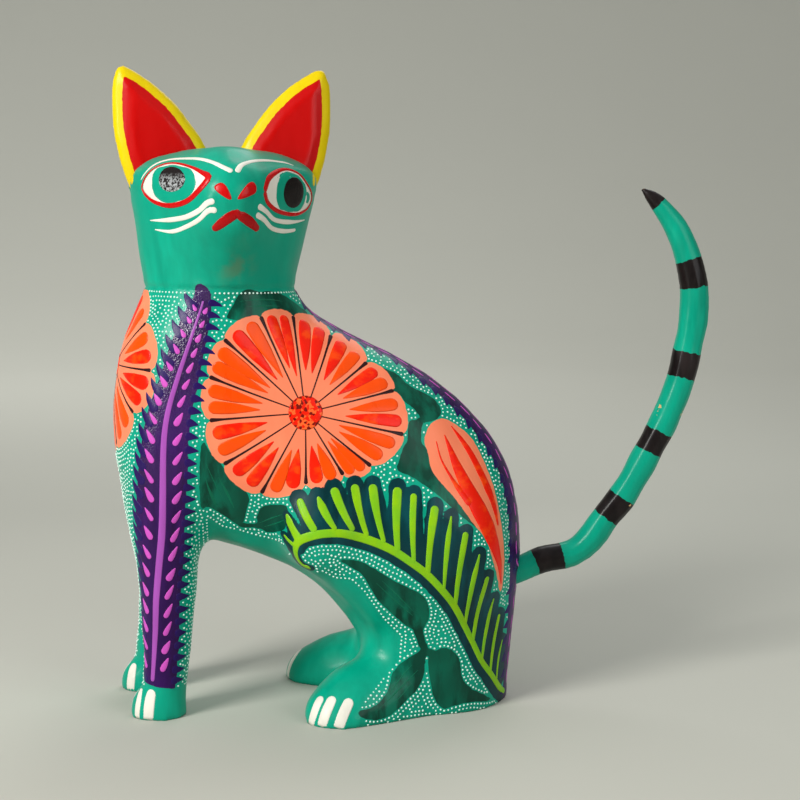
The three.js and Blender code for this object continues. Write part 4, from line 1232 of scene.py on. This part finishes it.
def paintedReflection(tree, place, colour):
    """Black above, with silvery specks below: a painted reflection, standing in for the gloss of the black pupil paint.
    """
    specks = noise(tree, place, 1900.0, 3.0)
    high = node(tree, "ShaderNodeSeparateXYZ", {0: place}).outputs[2]
    dark = ramp(tree, high, 0.1442, 0.1468)
    share = node(tree, "ShaderNodeMath", {0: dark, 1: ramp(tree, specks, 0.6, 0.46), 2: 0.0}, operation="MAXIMUM").outputs[0]
    return mixed(tree, share, colour, linear(paints["black"]))


pieces = [(body, "body", "body_paint"), (tail, "tail", "tail_paint")] + [(ear, name, "ear_paint") for ear, name in ears]
for name, given in pots.items():
    mesh = bpy.data.meshes.new(name)
    mesh.from_pydata([(v.x * mm, v.y * mm, max(v.z, 0.0) * mm) for v in given["verts"]], [], given["faces"])
    bm = bmesh.new()
    bm.from_mesh(mesh)
    bmesh.ops.recalc_face_normals(bm, faces=bm.faces)
    bm.to_mesh(mesh)
    bm.free()
    mesh.polygons.foreach_set("use_smooth", [True] * len(mesh.polygons))
    piece = bpy.data.objects.new(name, mesh)
    scene.collection.objects.link(piece)
    paint, gloss = potPaints[name]
    # the left pupil's specks added here are a painted reflection
    extras = {"flowerDisc": speckled, "pupilGlint": paintedReflection, "petalRed": warmed, "fernLime": limed}.get(name)
    mesh.materials.append(acrylic(name + "Paint", paint, gloss, 0.12, extras=extras))
    pieces.append((piece, None, "body_paint"))
dotPaint, tree = acrylic("dotPaint", "dot", 0.36, 0.06), dotTree()
for name, side in (("dotsNear", -1), ("dotsFar", 1)):
    dots = dotPiece(name, [p for p in dotPlaces if (1 if p.y > 0 else -1) == side], dotted, dotPaint, tree)
    pieces.append((dots, None, "body_paint"))
for piece, replaced, slot in pieces:
    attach(piece, "root")
    if replaced:
        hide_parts(replaced)
print("pieces", [(p.name, sum(len(f.vertices) - 2 for f in p.data.polygons)) for p, _, _ in pieces])

# Floor
profile = [(0, 0), (studio["floorReach"] / 2, 0)]
for step in range(13):
    angle = math.pi / 2 * step / 12
    profile.append((studio["floorReach"] + studio["bend"] * math.sin(angle), studio["bend"] * (1 - math.cos(angle))))
profile.append((studio["floorReach"] + studio["bend"], studio["wall"]))
turns = 64
verts = [(0, 0, 0)] + [(r * math.cos(2 * math.pi * k / turns) * mm, r * math.sin(2 * math.pi * k / turns) * mm, z * mm) for r, z in profile[1:] for k in range(turns)]
faces = [(0, 1 + k, 1 + (k + 1) % turns) for k in range(turns)]
for ring in range(len(profile) - 2):
    a = 1 + ring * turns
    faces += [(a + k, a + turns + k, a + turns + (k + 1) % turns, a + (k + 1) % turns) for k in range(turns)]
sweep = bpy.data.meshes.new("floor")
sweep.from_pydata(verts, [], faces)
sweep.polygons.foreach_set("use_smooth", [True] * len(sweep.polygons))
floor = bpy.data.objects.new("floor", sweep)
scene.collection.objects.link(floor)
floorPaint = bpy.data.materials.new("floorPaint")
floorPaint.use_nodes = True
tree = floorPaint.node_tree
cloth = noise(tree, node(tree, "ShaderNodeTexCoord").outputs["Object"], 3.0)
tree.links.new(mixed(tree, cloth, shade(studio["floorColour"], 0.98), shade(studio["floorColour"], 1.02)), tree.nodes["Principled BSDF"].inputs["Base Color"])
tree.nodes["Principled BSDF"].inputs["Roughness"].default_value = 0.85
floor.data.materials.append(floorPaint)
floor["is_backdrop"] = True

low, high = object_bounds()
